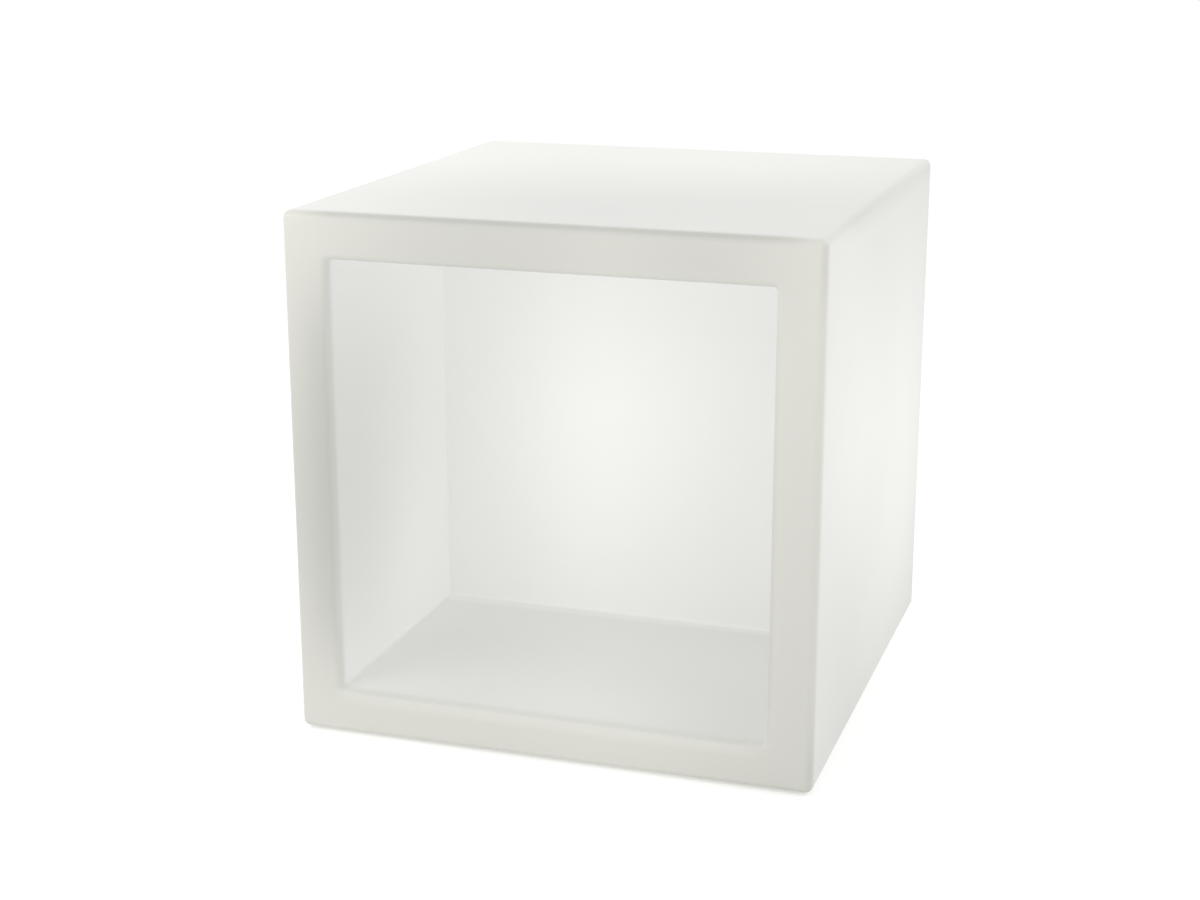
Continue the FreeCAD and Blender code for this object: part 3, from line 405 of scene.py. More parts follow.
@dataclass(frozen=True)
class GlowingSkin(Finish):
    """Milky moulded polyethylene, waxy outside, with a painted glow that stands in for the lamp's
    light from the compartment behind the bay, and painted shade and painted highlights on its walls
    and edges.

    A fade is the two distances from an edge or a wall between which something comes up. A slant
    is how much more one of the two distances from an edge counts.
    """

    colour: Triple = (0.66, 0.665, 0.645)
    front_colour: Triple = (0.668, 0.667, 0.621)
    tint: Triple = (1.0, 1.0, 0.90)
    bay_tint: Triple = (1.0, 1.0, 0.99)
    roughness: float = 0.45
    roughness_spread: float = 0.10
    coat: float = 0.12
    coat_roughness: float = 0.30
    peel_size: float = 2.6 * MM
    cloud_size: float = 55.0 * MM
    cloud_height: float = 6.0
    relief_depth: float = 0.03 * MM

    middle: Triple = (0.0, 0.0, 0.217)
    half: Triple = (0.215, 0.225, 0.215)
    bay_half: float = 0.178
    bay_back: float = 0.012

    # Each wall's glow is painted light: a level and slope standing in for the lamp's light, with
    # pools and streaks of painted light, or of painted shade below 0.
    outer: Wall = Wall(0.091, (0.000, -0.171, 0.170), (
        Pool((0.215, 0.12, 0.184), 0.30, 0.167), Pool((0.215, -0.12, 0.266), 0.20, 0.085),
        Pool((0.0, 0.225, 0.217), 0.25, 0.105), Pool((0.215, 0.19, 0.08), 0.14, 0.030)))
    top: Wall = Wall(0.182, (-0.292, 0.036, 0.000), (
        Pool((-0.04, -0.13, 0.432), 0.30, -0.080), Pool((0.12, 0.22, 0.432), 0.30, 0.054),
        Pool((0.0, 0.0, 0.432), 0.16, 0.016)))
    # Painted light on the underside, which also lifts the shade between it and the floor.
    under: Wall = Wall(0.25, (0.000, 0.200, 0.000), (Pool((0.0, 0.12, 0.002), 0.24, 0.120),))
    front: Wall = Wall(0.125, (-0.240, 0.000, 0.246), (
        Pool((-0.2, -0.225, 0.217), 0.25, -0.168), Pool((-0.067, -0.225, 0.415), 0.25, -0.154),
        Pool((0.133, -0.225, 0.415), 0.10, -0.075), Pool((0.067, -0.225, 0.02), 0.16, 0.042)), (
        # Painted shade and painted highlights along the mouth's rounded edges, and painted light
        # along the outer edges.
        Streak(Axis.ACROSS, -0.183, 0.03, -0.075, (0.1, 0.19)),
        Streak(Axis.ACROSS, -0.178, 0.005, 0.11, (0.1, 0.19)),
        Streak(Axis.ACROSS, 0.1795, 0.005, -0.05, (0.12, 0.185)),
        Streak(Axis.ACROSS, 0.2135, 0.005, 0.05, (0.14, 0.2)),
        Streak(Axis.UP, 0.032, 0.007, 0.035, (0.15, 0.19)),
        Streak(Axis.UP, 0.0372, 0.0025, -0.045, (0.15, 0.185)),
        Streak(Axis.UP, 0.3975, 0.004, 0.03, (0.12, 0.185)),
        Streak(Axis.UP, 0.004, 0.005, 0.025, (0.19, 0.22))))
    bay_side: Wall = Wall(0.267, (0.000, -0.141, 0.006), (
        Pool((0.178, -0.21, 0.254), 0.25, -0.155), Pool((0.178, -0.21, 0.118), 0.16, -0.049),
        Pool((0.178, -0.1, 0.03), 0.20, 0.003), Pool((0.178, -0.15, 0.395), 0.14, 0.016)))
    bay_wall: Wall = Wall(0.228, (0.060, 0.000, 0.269), (
        Pool((0.0, 0.012, 0.244), 0.25, 0.042), Pool((-0.08, 0.012, 0.05), 0.25, 0.112),
        Pool((-0.04, 0.012, 0.244), 0.18, 0.085)),
        (Streak(Axis.ACROSS, -0.04, 0.075, 0.010, (0.13, 0.19)),))
    bay_floor: Wall = Wall(0.125, (-0.271, 0.009, 0.000), (
        Pool((0.034, -0.21, 0.039), 0.12, 0.042), Pool((-0.102, -0.105, 0.039), 0.12, -0.025)))

    front_fade: Span = (13.0 * MM, 1.0 * MM)
    mouth_fade: Span = (5.5 * MM, 0.5 * MM)
    behind_fade: Span = (-12.0 * MM, -6.0 * MM)
    top_fade: Span = (7.0 * MM, 1.0 * MM)
    under_fade: Span = (3.0 * MM, 1.0 * MM)
    back_fade: Span = (4.5 * MM, 0.0)
    floor_fade: Span = (3.5 * MM, 0.0)
    crease_fade: Span = (14.0 * MM, 2.0 * MM)
    crease_slant: float = 3.0
    crease_painted_light: float = 0.05

    rim_fade: Span = (6.5 * MM, 1.0 * MM)
    rim_slant: float = 0.4
    rim_shade: float = 0.04
    upper_fade: Span = (30.0 * MM, 5.0 * MM)
    upper_end_fade: Span = (0.0, 45.0 * MM)
    upper_shade: float = 0.18
    ridge_fade: Span = (16.0 * MM, 1.0 * MM)
    ridge_slants: Span = (1.6, 0.7)
    ridge_start_fade: Span = (25.0 * MM, 125.0 * MM)
    ridge_shade: float = 0.08

    def sockets(self, graph: Graph) -> dict[str, Input]:
        """Milky body colour, a painted glow that stands in for the lamp's light, and the darker
        edges, partly painted shade.

        Args:
            graph: the material's graph.

        Returns:
            What goes into the shader's sockets.
        """
        at = SkinPlace(graph, self)
        in_front = at.behind_front.rise(*self.front_fade)
        in_bay = at.beyond_bay.rise(*self.mouth_fade) * at.before_back.rise(*self.behind_fade)
        light = self.outer_light(graph, at).toward(self.bay_light(graph, at), in_bay)
        light = light.toward(self.front.glow(graph, at.point, self.middle), in_front)
        # Painted shade at the edges, partly for the thicker plastic there, darkens both the base
        # colour and the glow.
        lit = 1.0 - self.edge_shade(at)
        peel, cloud = graph.noise(self.peel_size), graph.noise(self.cloud_size, 3.0)
        body = graph.colours(in_front, self.colour, self.front_colour)
        tint = graph.colours(in_bay, self.tint, self.bay_tint)
        return {
            "Base Color": graph.scaled(body, lit),
            "Roughness": cloud.around(self.roughness, self.roughness_spread),
            "Coat Weight": self.coat,
            "Coat Roughness": self.coat_roughness,
            "Emission Color": graph.scaled(tint, light * lit),
            "Emission Strength": 1.0,
            "Normal": graph.relief(peel + self.cloud_height * cloud, self.relief_depth),
        }

    def outer_light(self, graph: Graph, at: "SkinPlace") -> Signal:
        """Painted light and shade on the sides, the rear, the top and the underside, standing in
        for the lamp's light through them.

        Args:
            graph: the material's graph.
            at: the surface point's distances.

        Returns:
            The painted light.
        """
        sides = self.outer.glow(graph, at.folded, self.middle)
        top = self.top.glow(graph, at.point, self.middle)
        under = self.under.glow(graph, at.point, self.middle)
        light = sides.toward(top, at.below_top.rise(*self.top_fade))
        return light.toward(under, at.above_base.rise(*self.under_fade))

    def bay_light(self, graph: Graph, at: "SkinPlace") -> Signal:
        """Painted light and shade on the bay's walls, its back and its floor, standing in for the
        lamp's light through them, and painted light in the crease between, where shade falls.

        Args:
            graph: the material's graph.
            at: the surface point's distances.

        Returns:
            The painted light.
        """
        sides = self.bay_side.glow(graph, at.folded, self.middle)
        back = self.bay_wall.glow(graph, at.point, self.middle)
        floor = self.bay_floor.glow(graph, at.point, self.middle)
        light = sides.toward(back, at.before_back.rise(*self.back_fade))
        light = light.toward(floor, at.above_floor.rise(*self.floor_fade))
        # Painted light in the crease between the bay's back and its floor, lifting the shade that
        # falls in that corner.
        crease = (at.before_back + at.above_floor * self.crease_slant).rise(*self.crease_fade)
        return light + crease * self.crease_painted_light

    def edge_shade(self, at: "SkinPlace") -> Signal:
        """How much darker the outer edges are: partly the thicker plastic there, partly painted
        shade on the rounded edges and along the top's side edges.

        Args:
            at: the surface point's distances.

        Returns:
            The share of light that is lost.
        """
        rim = (at.behind_front * self.rim_slant + at.from_edge).rise(*self.rim_fade)
        upper = (at.below_top.rise(*self.upper_fade)
                 * at.from_side.rise(*self.upper_end_fade))
        side_slant, top_slant = self.ridge_slants
        ridge = (at.from_side * side_slant + at.below_top * top_slant).rise(*self.ridge_fade)
        return (rim * (self.rim_shade + upper * self.upper_shade)
                + ridge * at.behind_front.rise(*self.ridge_start_fade) * self.ridge_shade)


class SkinPlace:
    """A surface point's distances from the cube's faces and the bay's walls, in metres."""

    def __init__(self, graph: Graph, skin: GlowingSkin) -> None:
        """Measures the distances.

        Args:
            graph: the material's graph.
            skin: the finish, with the cube's size.
        """
        x, y, z = graph.place()
        up = z - skin.middle[2]
        out = abs(x).at_least(abs(up))
        folded = graph.node("ShaderNodeCombineXYZ", inputs={0: abs(x), 1: y, 2: z})
        self.point = graph.point()
        self.folded = folded.outputs[0]
        self.behind_front = y + skin.half[1]
        self.from_side = skin.half[0] - abs(x)
        self.from_edge = skin.half[0] - out
        self.below_top = skin.half[2] - up
        self.above_base = up + skin.half[2]
        self.beyond_bay = out - skin.bay_half
        self.before_back = skin.bay_back - y
        self.above_floor = up + skin.bay_half


@dataclass(frozen=True)
class Moulded(Finish):
    """Moulded plastic or rubber: a tool's grain, faint flow clouds and a little dust."""

    colour: Triple
    roughness: float = 0.5
    grain: float = 0.5 * MM
    depth: float = 0.02 * MM
    cloud: float = 0.12
    dust: float = 0.0
    coat: float = 0.0
    glow: float = 0.0
    cloud_size: float = 14.0 * MM
    speck_size: float = 0.5 * MM
    dust_colour: Triple = (0.42, 0.41, 0.39)
    cloud_edges: Span = (0.3, 0.7)
    dust_edges: Span = (0.55, 0.75)
    roughness_spread: float = 0.16
    glow_spread: float = 0.1

    def sockets(self, graph: Graph) -> dict[str, Input]:
        """Clouded colour, grain, dust and, where it has any, light from within.

        Args:
            graph: the material's graph.

        Returns:
            What goes into the shader's sockets.
        """
        cloud, speck = graph.noise(self.cloud_size, 3.0), graph.noise(self.speck_size, 4.0)
        deep, pale = (shaded(self.colour, 1.0 + way * self.cloud) for way in (-1.0, 1.0))
        colour = graph.colours(cloud.rise(*self.cloud_edges), deep, pale)
        if self.dust:
            dust = speck.rise(*self.dust_edges) * self.dust
            colour = graph.colours(dust, colour, self.dust_colour)
        sockets = {
            "Base Color": colour,
            "Roughness": speck.around(self.roughness, self.roughness_spread),
            "Coat Weight": self.coat,
            "Normal": graph.relief(graph.noise(self.grain), self.depth),
        }
        # Painted glow: emission standing in for the lamp's light through this plastic.
        if self.glow:
            light = self.glow * cloud.around(1.0, self.glow_spread)
            sockets |= {"Emission Color": graph.scaled(self.colour, light),
                        "Emission Strength": 1.0}
        return sockets


@dataclass(frozen=True)
class Metal(Finish):
    """Bare or plated metal with fine polishing lines and a few handling marks."""

    colour: Triple
    roughness: float = 0.3
    polish: Polish = Polish.TURNED
    line: float = 0.25 * MM
    line_depth: float = 0.006 * MM
    line_spread: float = 0.16
    mark_size: float = 3.5 * MM
    mark_edges: Span = (0.35, 0.7)
    mark_spread: float = 0.10
    dulling: float = 0.92

    def sockets(self, graph: Graph) -> dict[str, Input]:
        """Metal, dulled in patches, with its polishing lines.

        Args:
            graph: the material's graph.

        Returns:
            What goes into the shader's sockets.
        """
        lines = graph.noise(self.line, 2.0, self.polish.value)
        marks = graph.noise(self.mark_size, 4.0)
        dull = shaded(self.colour, self.dulling)
        marked = marks.around(self.roughness, self.mark_spread)
        return {
            "Base Color": graph.colours(marks.rise(*self.mark_edges), self.colour, dull),
            "Metallic": 1.0,
            "Roughness": lines.around(marked, self.line_spread),
            "Normal": graph.relief(lines, self.line_depth),
        }


@dataclass(frozen=True)
class Circuit(Finish):
    """A circuit board: green lacquer over copper tracks, with tinned pads."""

    lacquer: Triple = (0.012, 0.12, 0.055)
    track: Triple = (0.03, 0.22, 0.10)
    pad: Triple = (0.70, 0.68, 0.62)
    roughness: float = 0.40
    roughness_spread: float = 0.12
    smudge_size: float = 2.0 * MM
    track_step: float = 0.9 * MM
    track_edges: Span = (0.42, 0.58)
    track_height: float = 0.5
    bend_size: float = 9.0 * MM
    bend_reach: float = 3.0 * MM
    patch_size: float = 6.0 * MM
    patch_edges: Span = (0.49, 0.51)
    pad_spacing: float = 4.2 * MM
    pad_edges: Span = (0.17, 0.14)
    copper_depth: float = 0.05 * MM

    def sockets(self, graph: Graph) -> dict[str, Input]:
        """Tracks that run across in some patches and along in others, and the pads.

        Args:
            graph: the material's graph.

        Returns:
            What goes into the shader's sockets.
        """
        x, _, z = graph.place()
        bend = graph.noise(self.bend_size, 1.0) * self.bend_reach
        across, along = (graph.number("PINGPONG", line + bend, self.track_step) / self.track_step
                         for line in (x, z))
        patch = graph.noise(self.patch_size, 0.0).rise(*self.patch_edges)
        tracks = (across * patch + along * (1.0 - patch)).rise(*self.track_edges)
        pads = graph.cells(self.pad_spacing).rise(*self.pad_edges)
        lacquered = graph.colours(tracks, self.lacquer, self.track)
        smudges = graph.noise(self.smudge_size)
        return {
            "Base Color": graph.colours(pads, lacquered, self.pad),
            "Metallic": pads,
            "Roughness": smudges.around(self.roughness, self.roughness_spread),
            "Coat Weight": 1.0 - pads,
            "Normal": graph.relief(tracks * self.track_height + pads, self.copper_depth),
        }


@dataclass(frozen=True)
class Sleeve(Finish):
    """A battery cell's shrunk sleeve, with its bare steel ends."""

    colour: Triple = (0.03, 0.12, 0.34)
    steel: Triple = (0.60, 0.60, 0.60)
    roughness: float = 0.375
    roughness_spread: float = 0.15
    smudge_size: float = 5.0 * MM
    coat: float = 0.5
    half_length: float = 32.6 * MM
    end: float = 1.4 * MM
    end_blend: float = 0.2 * MM
    wrinkle_start: float = 22.0 * MM
    wrinkle_size: float = 1.6 * MM
    wrinkle_stretch: Triple = (0.25, 1.0, 1.0)
    wrinkle_depth: float = 0.15 * MM

    def sockets(self, graph: Graph) -> dict[str, Input]:
        """Coloured film, wrinkled towards the bare ends.

        Args:
            graph: the material's graph.

        Returns:
            What goes into the shader's sockets.
        """
        from_middle = abs(graph.place()[0])
        edge = self.half_length - self.end
        bare = from_middle.rise(edge, edge + self.end_blend)
        wrinkle = (graph.noise(self.wrinkle_size, 2.0, self.wrinkle_stretch)
                   * from_middle.rise(self.wrinkle_start, self.half_length))
        smudges = graph.noise(self.smudge_size)
        return {
            "Base Color": graph.colours(bare, self.colour, self.steel),
            "Metallic": bare,
            "Roughness": smudges.around(self.roughness, self.roughness_spread),
            "Coat Weight": self.coat * (1.0 - bare),
            "Normal": graph.relief(wrinkle, self.wrinkle_depth),
        }


@dataclass(frozen=True)
class LitWindow(Finish):
    """A pale plastic that light comes through: the lamp's cover, its chips or the charge light."""

    colour: Triple
    light: Triple
    level: float
    roughness: float = 0.3
    roughness_spread: float = 0.10
    coat: float = 0.3
    light_spread: float = 0.3
    haze_size: float = 6.0 * MM
    haze_shade: float = 0.94
    grain: float = 0.8 * MM
    depth: float = 0.01 * MM

    def sockets(self, graph: Graph) -> dict[str, Input]:
        """Hazy plastic with even light behind it.

        Args:
            graph: the material's graph.

        Returns:
            What goes into the shader's sockets.
        """
        haze = graph.noise(self.haze_size)
        hazed = shaded(self.colour, self.haze_shade)
        light = self.level * haze.around(1.0, self.light_spread)
        return {
            "Base Color": graph.colours(haze, hazed, self.colour),
            "Roughness": haze.around(self.roughness, self.roughness_spread),
            "Coat Weight": self.coat,
            "Emission Color": graph.scaled(self.light, light),
            "Emission Strength": 1.0,
            "Normal": graph.relief(graph.noise(self.grain), self.depth),
        }


@dataclass(frozen=True)
class Insulation(Finish):
    """A wire's coloured sleeve, each of a pair in its own colour."""

    left: Triple
    right: Triple
    split: float
    blend: float = 0.1 * MM
    roughness: float = 0.42
    roughness_spread: float = 0.2
    smudge_size: float = 1.0 * MM
    grain: float = 0.6 * MM
    depth: float = 0.02 * MM

    def sockets(self, graph: Graph) -> dict[str, Input]:
        """One colour on each side of the gap between the two wires.

        Args:
            graph: the material's graph.

        Returns:
            What goes into the shader's sockets.
        """
        side = graph.place()[0].rise(self.split - self.blend, self.split + self.blend)
        smudges = graph.noise(self.smudge_size, 3.0)
        return {
            "Base Color": graph.colours(side, self.left, self.right),
            "Roughness": smudges.around(self.roughness, self.roughness_spread),
            "Normal": graph.relief(graph.noise(self.grain), self.depth),
        }


# ---- Shaping ---------------------------------------------------------------------------------
def linked(name: str, data: bpy.types.ID) -> Piece:
    """Puts a new object in the scene.

    Args:
        name: the object's name.
        data: its mesh, camera or lamp.

    Returns:
        The object, at the origin.
    """
    made = bpy.data.objects.new(name, data)
    bpy.context.scene.collection.objects.link(made)
    return made


def aim(thing: bpy.types.Object, position: Triple, target: Triple) -> None:
    """Places a camera or a lamp and turns it to a point.

    Args:
        thing: the camera or lamp.
        position: where it goes.
        target: the point.
    """
    line = Vector(target) - Vector(position)
    thing.location = position
    thing.rotation_euler = line.to_track_quat("-Z", "Y").to_euler()


def edges_of(verts: Iterable[Vert]) -> list[Edge]:
    """The edges at some points, each once and in the same order every time."""
    return list(dict.fromkeys(edge for vert in verts for edge in vert.link_edges))


def runs_along(edge: Edge, axis: Axis) -> bool:
    """Whether an edge goes further than 1 mm along an axis."""
    first, last = (vert.co[axis.value] for vert in edge.verts)
    return abs(first - last) > MM


def is_sharp(edge: Edge) -> bool:
    """Whether the faces at an edge meet at a clear angle."""
    return edge.calc_face_angle(0.0) > SHARP


def flush(verts: Iterable[Vert], centre: Vector, axis: Axis) -> bool:
    """Whether points all lie in the plane through a point, square to an axis."""
    return all(abs((vert.co - centre).dot(axis.direction)) < FLUSH for vert in verts)


def smooth(data: bpy.types.Mesh, crease: float) -> None:
    """Shades a mesh smoothly, apart from edges sharper than a crease in degrees."""
    data.polygons.foreach_set("use_smooth", [True] * len(data.polygons))
    data.set_sharp_from_angle(angle=math.radians(crease))


class Shaper:
    """A mesh in the making, and the operators that shape it."""

    def __init__(self) -> None:
        """Starts with an empty mesh."""
        self.mesh = bmesh.new()

    def block(self, low: Vector, high: Vector) -> list[Vert]:
        """A box.

        Args:
            low: its lowest corner.
            high: its highest corner.

        Returns:
            Its corners.
        """
        made = bmesh.ops.create_cube(self.mesh, size=1.0)["verts"]
        bmesh.ops.scale(self.mesh, vec=high - low, verts=made)
        bmesh.ops.translate(self.mesh, vec=(low + high) / 2, verts=made)
        return made

    def cut(self, axis: Axis, places: Iterable[float]) -> None:
        """Divides every face along planes.

        Args:
            axis: the planes' normal.
            places: where they are along it.
        """
        for place in places:
            everything = [*self.mesh.verts, *self.mesh.edges, *self.mesh.faces]
            bmesh.ops.bisect_plane(self.mesh, geom=everything, dist=TOUCH,
                                   plane_co=axis.direction * place, plane_no=axis.direction)

    def bevel(self, chosen: Iterable[Edge | Vert], radius: float, segments: int,
              what: Rounding = Rounding.EDGES) -> None:
        """Rounds edges or corners.

        Args:
            chosen: the edges or corners.
            radius: how far the rounding reaches.
            segments: how many steps it has.
            what: which of the two they are.
        """
        bmesh.ops.bevel(self.mesh, geom=list(chosen), offset=radius, offset_type="OFFSET",
                        segments=segments, profile=0.5, affect=what.value, clamp_overlap=False,
                        material=-1)

    def round_edges(self, radius: float, segments: int, chosen: Callable[[Edge], bool]) -> None:
        """Rounds the edges that a test picks."""
        self.bevel([edge for edge in self.mesh.edges if chosen(edge)], radius, segments)

    def lathe(self, profile: Sequence[tuple[float, ...]], centre: Vector, axis: Axis,
              steps: int = 48, closed: bool = False) -> None:
        """Turns a profile about an axis.

        Args:
            profile: corners as (radius, place along the axis) or (radius, place, rounding).
            centre: a point on the axis.
            axis: its direction.
            steps: how many steps a full turn has.
            closed: whether the last corner joins the first.
        """
        before = set(self.mesh.verts)
        out = axis.direction.orthogonal().normalized()
        base = centre - axis.direction * centre.dot(axis.direction)
        corners = [self.mesh.verts.new(base + out * p[0] + axis.direction * p[1]) for p in profile]
        following = corners[1:] + ([corners[0]] if closed else [])
        for pair in zip(corners, following):
            self.mesh.edges.new(pair)
        for corner, rounding in [(c, p[2]) for c, p in zip(corners, profile) if len(p) > 2]:
            self.bevel([corner], rounding, PROFILE_STEPS, Rounding.CORNERS)
        line = [v for v in self.mesh.verts if v not in before]
        bmesh.ops.spin(self.mesh, geom=line + edges_of(line), cent=base, axis=axis.direction,
                       angle=math.tau, steps=steps, use_merge=True)
        turned = [v for v in self.mesh.verts if v not in before]
        bmesh.ops.remove_doubles(self.mesh, verts=turned, dist=TOUCH)

    def open_edges(self, centre: Vector, axis: Axis, known: set[Edge]) -> list[Edge]:
        """The mesh's open edges in the plane through a point, apart from known ones."""
        return [edge for edge in self.mesh.edges if edge.is_boundary
                and edge not in known and flush(edge.verts, centre, axis)]

    def let_in(self, form: Callable[[], None], centre: Vector, axis: Axis,
               inside: Callable[[Vector], bool]) -> None:
        """Lets a form into a flat wall.

        Args:
            form: makes the form, whose rim lies in the wall's plane.
            centre: its middle, in the wall's plane.
            axis: the wall's normal.
            inside: picks the patch of wall that makes way, by a face's middle from the centre.
        """
        known = set(self.open_edges(centre, axis, set()))
        patch = [face for face in self.mesh.faces if flush(face.verts, centre, axis)
                 and inside(face.calc_center_median() - centre)]
        bmesh.ops.delete(self.mesh, geom=patch, context="FACES")
        hole = self.open_edges(centre, axis, known)
        form()
        rim = self.open_edges(centre, axis, known | set(hole))
        lifted = list(dict.fromkeys(v for e in rim for v in e.verts))
        lift = axis.direction * max((v.co - centre).length for v in lifted)
        bmesh.ops.translate(self.mesh, vec=lift, verts=lifted)
        bmesh.ops.bridge_loops(self.mesh, edges=hole + rim)
        bmesh.ops.translate(self.mesh, vec=-lift, verts=lifted)

    def sink(self, axis: Axis, place: float, depth: float, middle: Vector, half: Vector) -> None:
        """Lets a flat wall sag like a cooled moulding.

        Args:
            axis: the wall's normal.
            place: where the wall is along it.
            depth: how far its middle moves along the axis.
            middle: the wall's middle.
            half: half its size along each axis.
        """
        others = [k for k in range(3) if k != axis.value]
        for vert in self.mesh.verts:
            if abs(vert.co[axis.value] - place) > FLUSH:
                continue
            shares = [(vert.co[k] - middle[k]) / half[k] for k in others]
            if max(abs(s) for s in shares) < 1.0:
                vert.co[axis.value] += depth * math.prod((1.0 - s * s) ** 2 for s in shares)

    def piece(self, name: str, slot: Slot, material: Material, crease: float = 35.0) -> Piece:
        """Makes the mesh an object.

        Args:
            name: the piece's name.
            slot: the record's slot that its finish belongs to; not used.
            material: its finish.
            crease: edges sharper than this many degrees stay sharp.

        Returns:
            The object, at the origin, with its place in its mesh.
        """
        bmesh.ops.remove_doubles(self.mesh, verts=self.mesh.verts, dist=TOUCH)
        self.mesh.verts.sort(key=lambda vert: vert.co.dot(RANK))
        self.mesh.faces.sort(key=lambda face: face.calc_center_median().dot(RANK))
        bmesh.ops.recalc_face_normals(self.mesh, faces=self.mesh.faces)
        data = bpy.data.meshes.new(name)
        self.mesh.to_mesh(data)
        self.mesh.free()
        smooth(data, crease)
        data.materials.append(material)
        made = linked(name, data)
        return made


def joined(base: Piece, others: Sequence[Piece]) -> Piece:
    """Welds overlapping pieces into one closed mesh.

    Args:
        base: the piece that stays.
        others: the pieces that go into it.

    Returns:
        The base, with its new mesh.
    """
    for other in others:
        weld = base.modifiers.new("weld", "BOOLEAN")
        weld.operation, weld.solver, weld.object = "UNION", "EXACT", other
    bpy.context.view_layer.update()
    welded = base.evaluated_get(bpy.context.evaluated_depsgraph_get())
    merged = bpy.data.meshes.new_from_object(welded)
    base.modifiers.clear()
    base.data = merged
    for other in others:
        bpy.data.objects.remove(other)
    return base


# ---- The moulded shell -----------------------------------------------------------------------
@dataclass
class MouldedShell:
    """The hollow one-piece moulding: box, bay, rear recess with its port, and foot pockets.

    A patch is how far from a feature's middle the wall makes way for it. The grids are half
    of the lines that divide the walls, from the middle outwards.
    """

    rim: float = 37.0 * MM
    bay_depth: float = 237.0 * MM
    skin: float = 3.5 * MM
    edge: float = 6.0 * MM
    bay_corner: float = 3.0 * MM
    corner_share: float = 0.95
    mouth: float = 6.0 * MM
    arc_steps: int = 6
    recess_radius: float = 90.5 * MM
    recess_depth: float = 8.0 * MM
    recess_rim: float = 2.0 * MM
    recess_patch: float = 110.0 * MM
    recess_steps: int = 96
    port_radius: float = 73.0 * MM
    screw_ring: float = 82.75 * MM
    screw_count: int = 6
    ring_half: float = 5.0 * MM
    insert_radius: float = 3.55 * MM
    insert_depth: float = 9.05 * MM
    insert_patch: float = 10.0 * MM
    insert_steps: int = 16
    pocket_radius: float = 14.0 * MM
    pocket_depth: float = 2.5 * MM
    pocket_patch: float = 20.0 * MM
    pocket_steps: int = 32
    foot_across: float = 170.0 * MM
    foot_deep: float = 180.0 * MM
    sag: float = 0.6 * MM
    frame_cut: float = 12.0 * MM
    grid_across: tuple[float, ...] = (0.0, 36.7, 73.3, 110.0, 150.0, 190.0)
    grid_deep: tuple[float, ...] = (0.0, 40.0, 80.0, 120.0, 160.0, 200.0)
    grid_up: tuple[float, ...] = (0.0, 36.7, 73.3, 110.0, 144.0)

    def __post_init__(self) -> None:
        """Reads the shell's outer size and works out the bay's."""
        self.low, self.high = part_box("shell")
        self.middle = (self.low + self.high) / 2
        self.bay_low = self.low + Vector((self.rim, 0.0, self.rim))
        self.bay_high = Vector((self.high.x - self.rim, self.low.y + self.bay_depth,
                                self.high.z - self.rim))

    def build(self, material: Material) -> Piece:
        """Builds the shell in place of its plain solid.

        Args:
            material: its finish.

        Returns:
            The shell.
        """
        shaper = Shaper()
        for step in (self.box, self.bay, self.grid, self.sag_walls, self.recess, self.pockets):
            step(shaper)
        shell = shaper.piece("moulded_shell", Slot.SHELL, material)
        wall = shell.modifiers.new("wall", "SOLIDIFY")
        wall.thickness, wall.offset, wall.use_even_offset = self.skin, -1.0, True
        shading = shell.modifiers.new("shading", "WEIGHTED_NORMAL")
        shading.keep_sharp, shading.weight = True, 100
        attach(shell, Body.CUBE.value)
        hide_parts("shell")
        return shell

    def box(self, shaper: Shaper) -> None:
        """Makes the outer box with its rounded edges.

        Args:
            shaper: the shell's mesh.
        """
        shaper.block(self.low, self.high)
        shaper.round_edges(self.edge, self.arc_steps, lambda edge: True)
        across = self.bay_high.x + self.frame_cut
        up = self.bay_high.z - self.middle.z + self.frame_cut
        shaper.cut(Axis.ACROSS, (-across, across))
        shaper.cut(Axis.UP, (self.middle.z - up, self.middle.z + up))

    def bay(self, shaper: Shaper) -> None:
        """Lets the bay into the front: its rounded mouth, its walls and its back.

        Args:
            shaper: the shell's mesh.
        """
        centre = Vector((0.0, self.low.y, self.middle.z))
        cut = self.bay_high.x + self.frame_cut

        def form() -> None:
            """Steps inwards from the mouth to the back wall."""
            before = set(shaper.mesh.verts)
            half = self.bay_high.x + self.mouth
            corners = [shaper.mesh.verts.new(centre + Vector((a * half, 0.0, b * half)))
                       for a, b in SQUARE]
            shaper.mesh.faces.new(corners)
            shaper.bevel(corners, self.bay_corner + self.mouth, self.arc_steps, Rounding.CORNERS)
            inner = next(f for f in shaper.mesh.faces if f.verts[0] not in before)
            steps = self.bay_steps()
            for (inset, depth), (next_inset, next_depth) in zip(steps, steps[1:]):
                bmesh.ops.inset_individual(shaper.mesh, faces=[inner], thickness=next_inset - inset,
                                           depth=depth - next_depth, use_even_offset=True)

        shaper.let_in(form, centre, Axis.DEEP,
                      lambda point: max(abs(point.x), abs(point.z)) < cut)

    def bay_steps(self) -> list[Span]:
        """The bay's section, round the mouth's edge and then round the corner at its back.

        Returns:
            Steps as (inwards from the mouth's outer line, depth).
        """
        turns = [math.radians(90.0 * k / self.arc_steps) for k in range(self.arc_steps + 1)]
        mouth = [(self.mouth * math.sin(t), self.mouth * (1 - math.cos(t))) for t in turns]
        back = self.bay_corner * self.corner_share
        return mouth + [(self.mouth + back * (1 - math.cos(t)),
                         self.bay_depth - back * (1 - math.sin(t))) for t in turns]

    def grid(self, shaper: Shaper) -> None:
        """Divides the flat walls, so that they can sag and make way for round features.

        Args:
            shaper: the shell's mesh.
        """
        for axis, middle, lines in ((Axis.ACROSS, 0.0, self.grid_across),
                                    (Axis.UP, self.middle.z, self.grid_up),
                                    (Axis.DEEP, 0.0, self.grid_deep)):
            shaper.cut(axis, sorted({middle + s * k * MM for k in lines for s in (-1, 1)}))

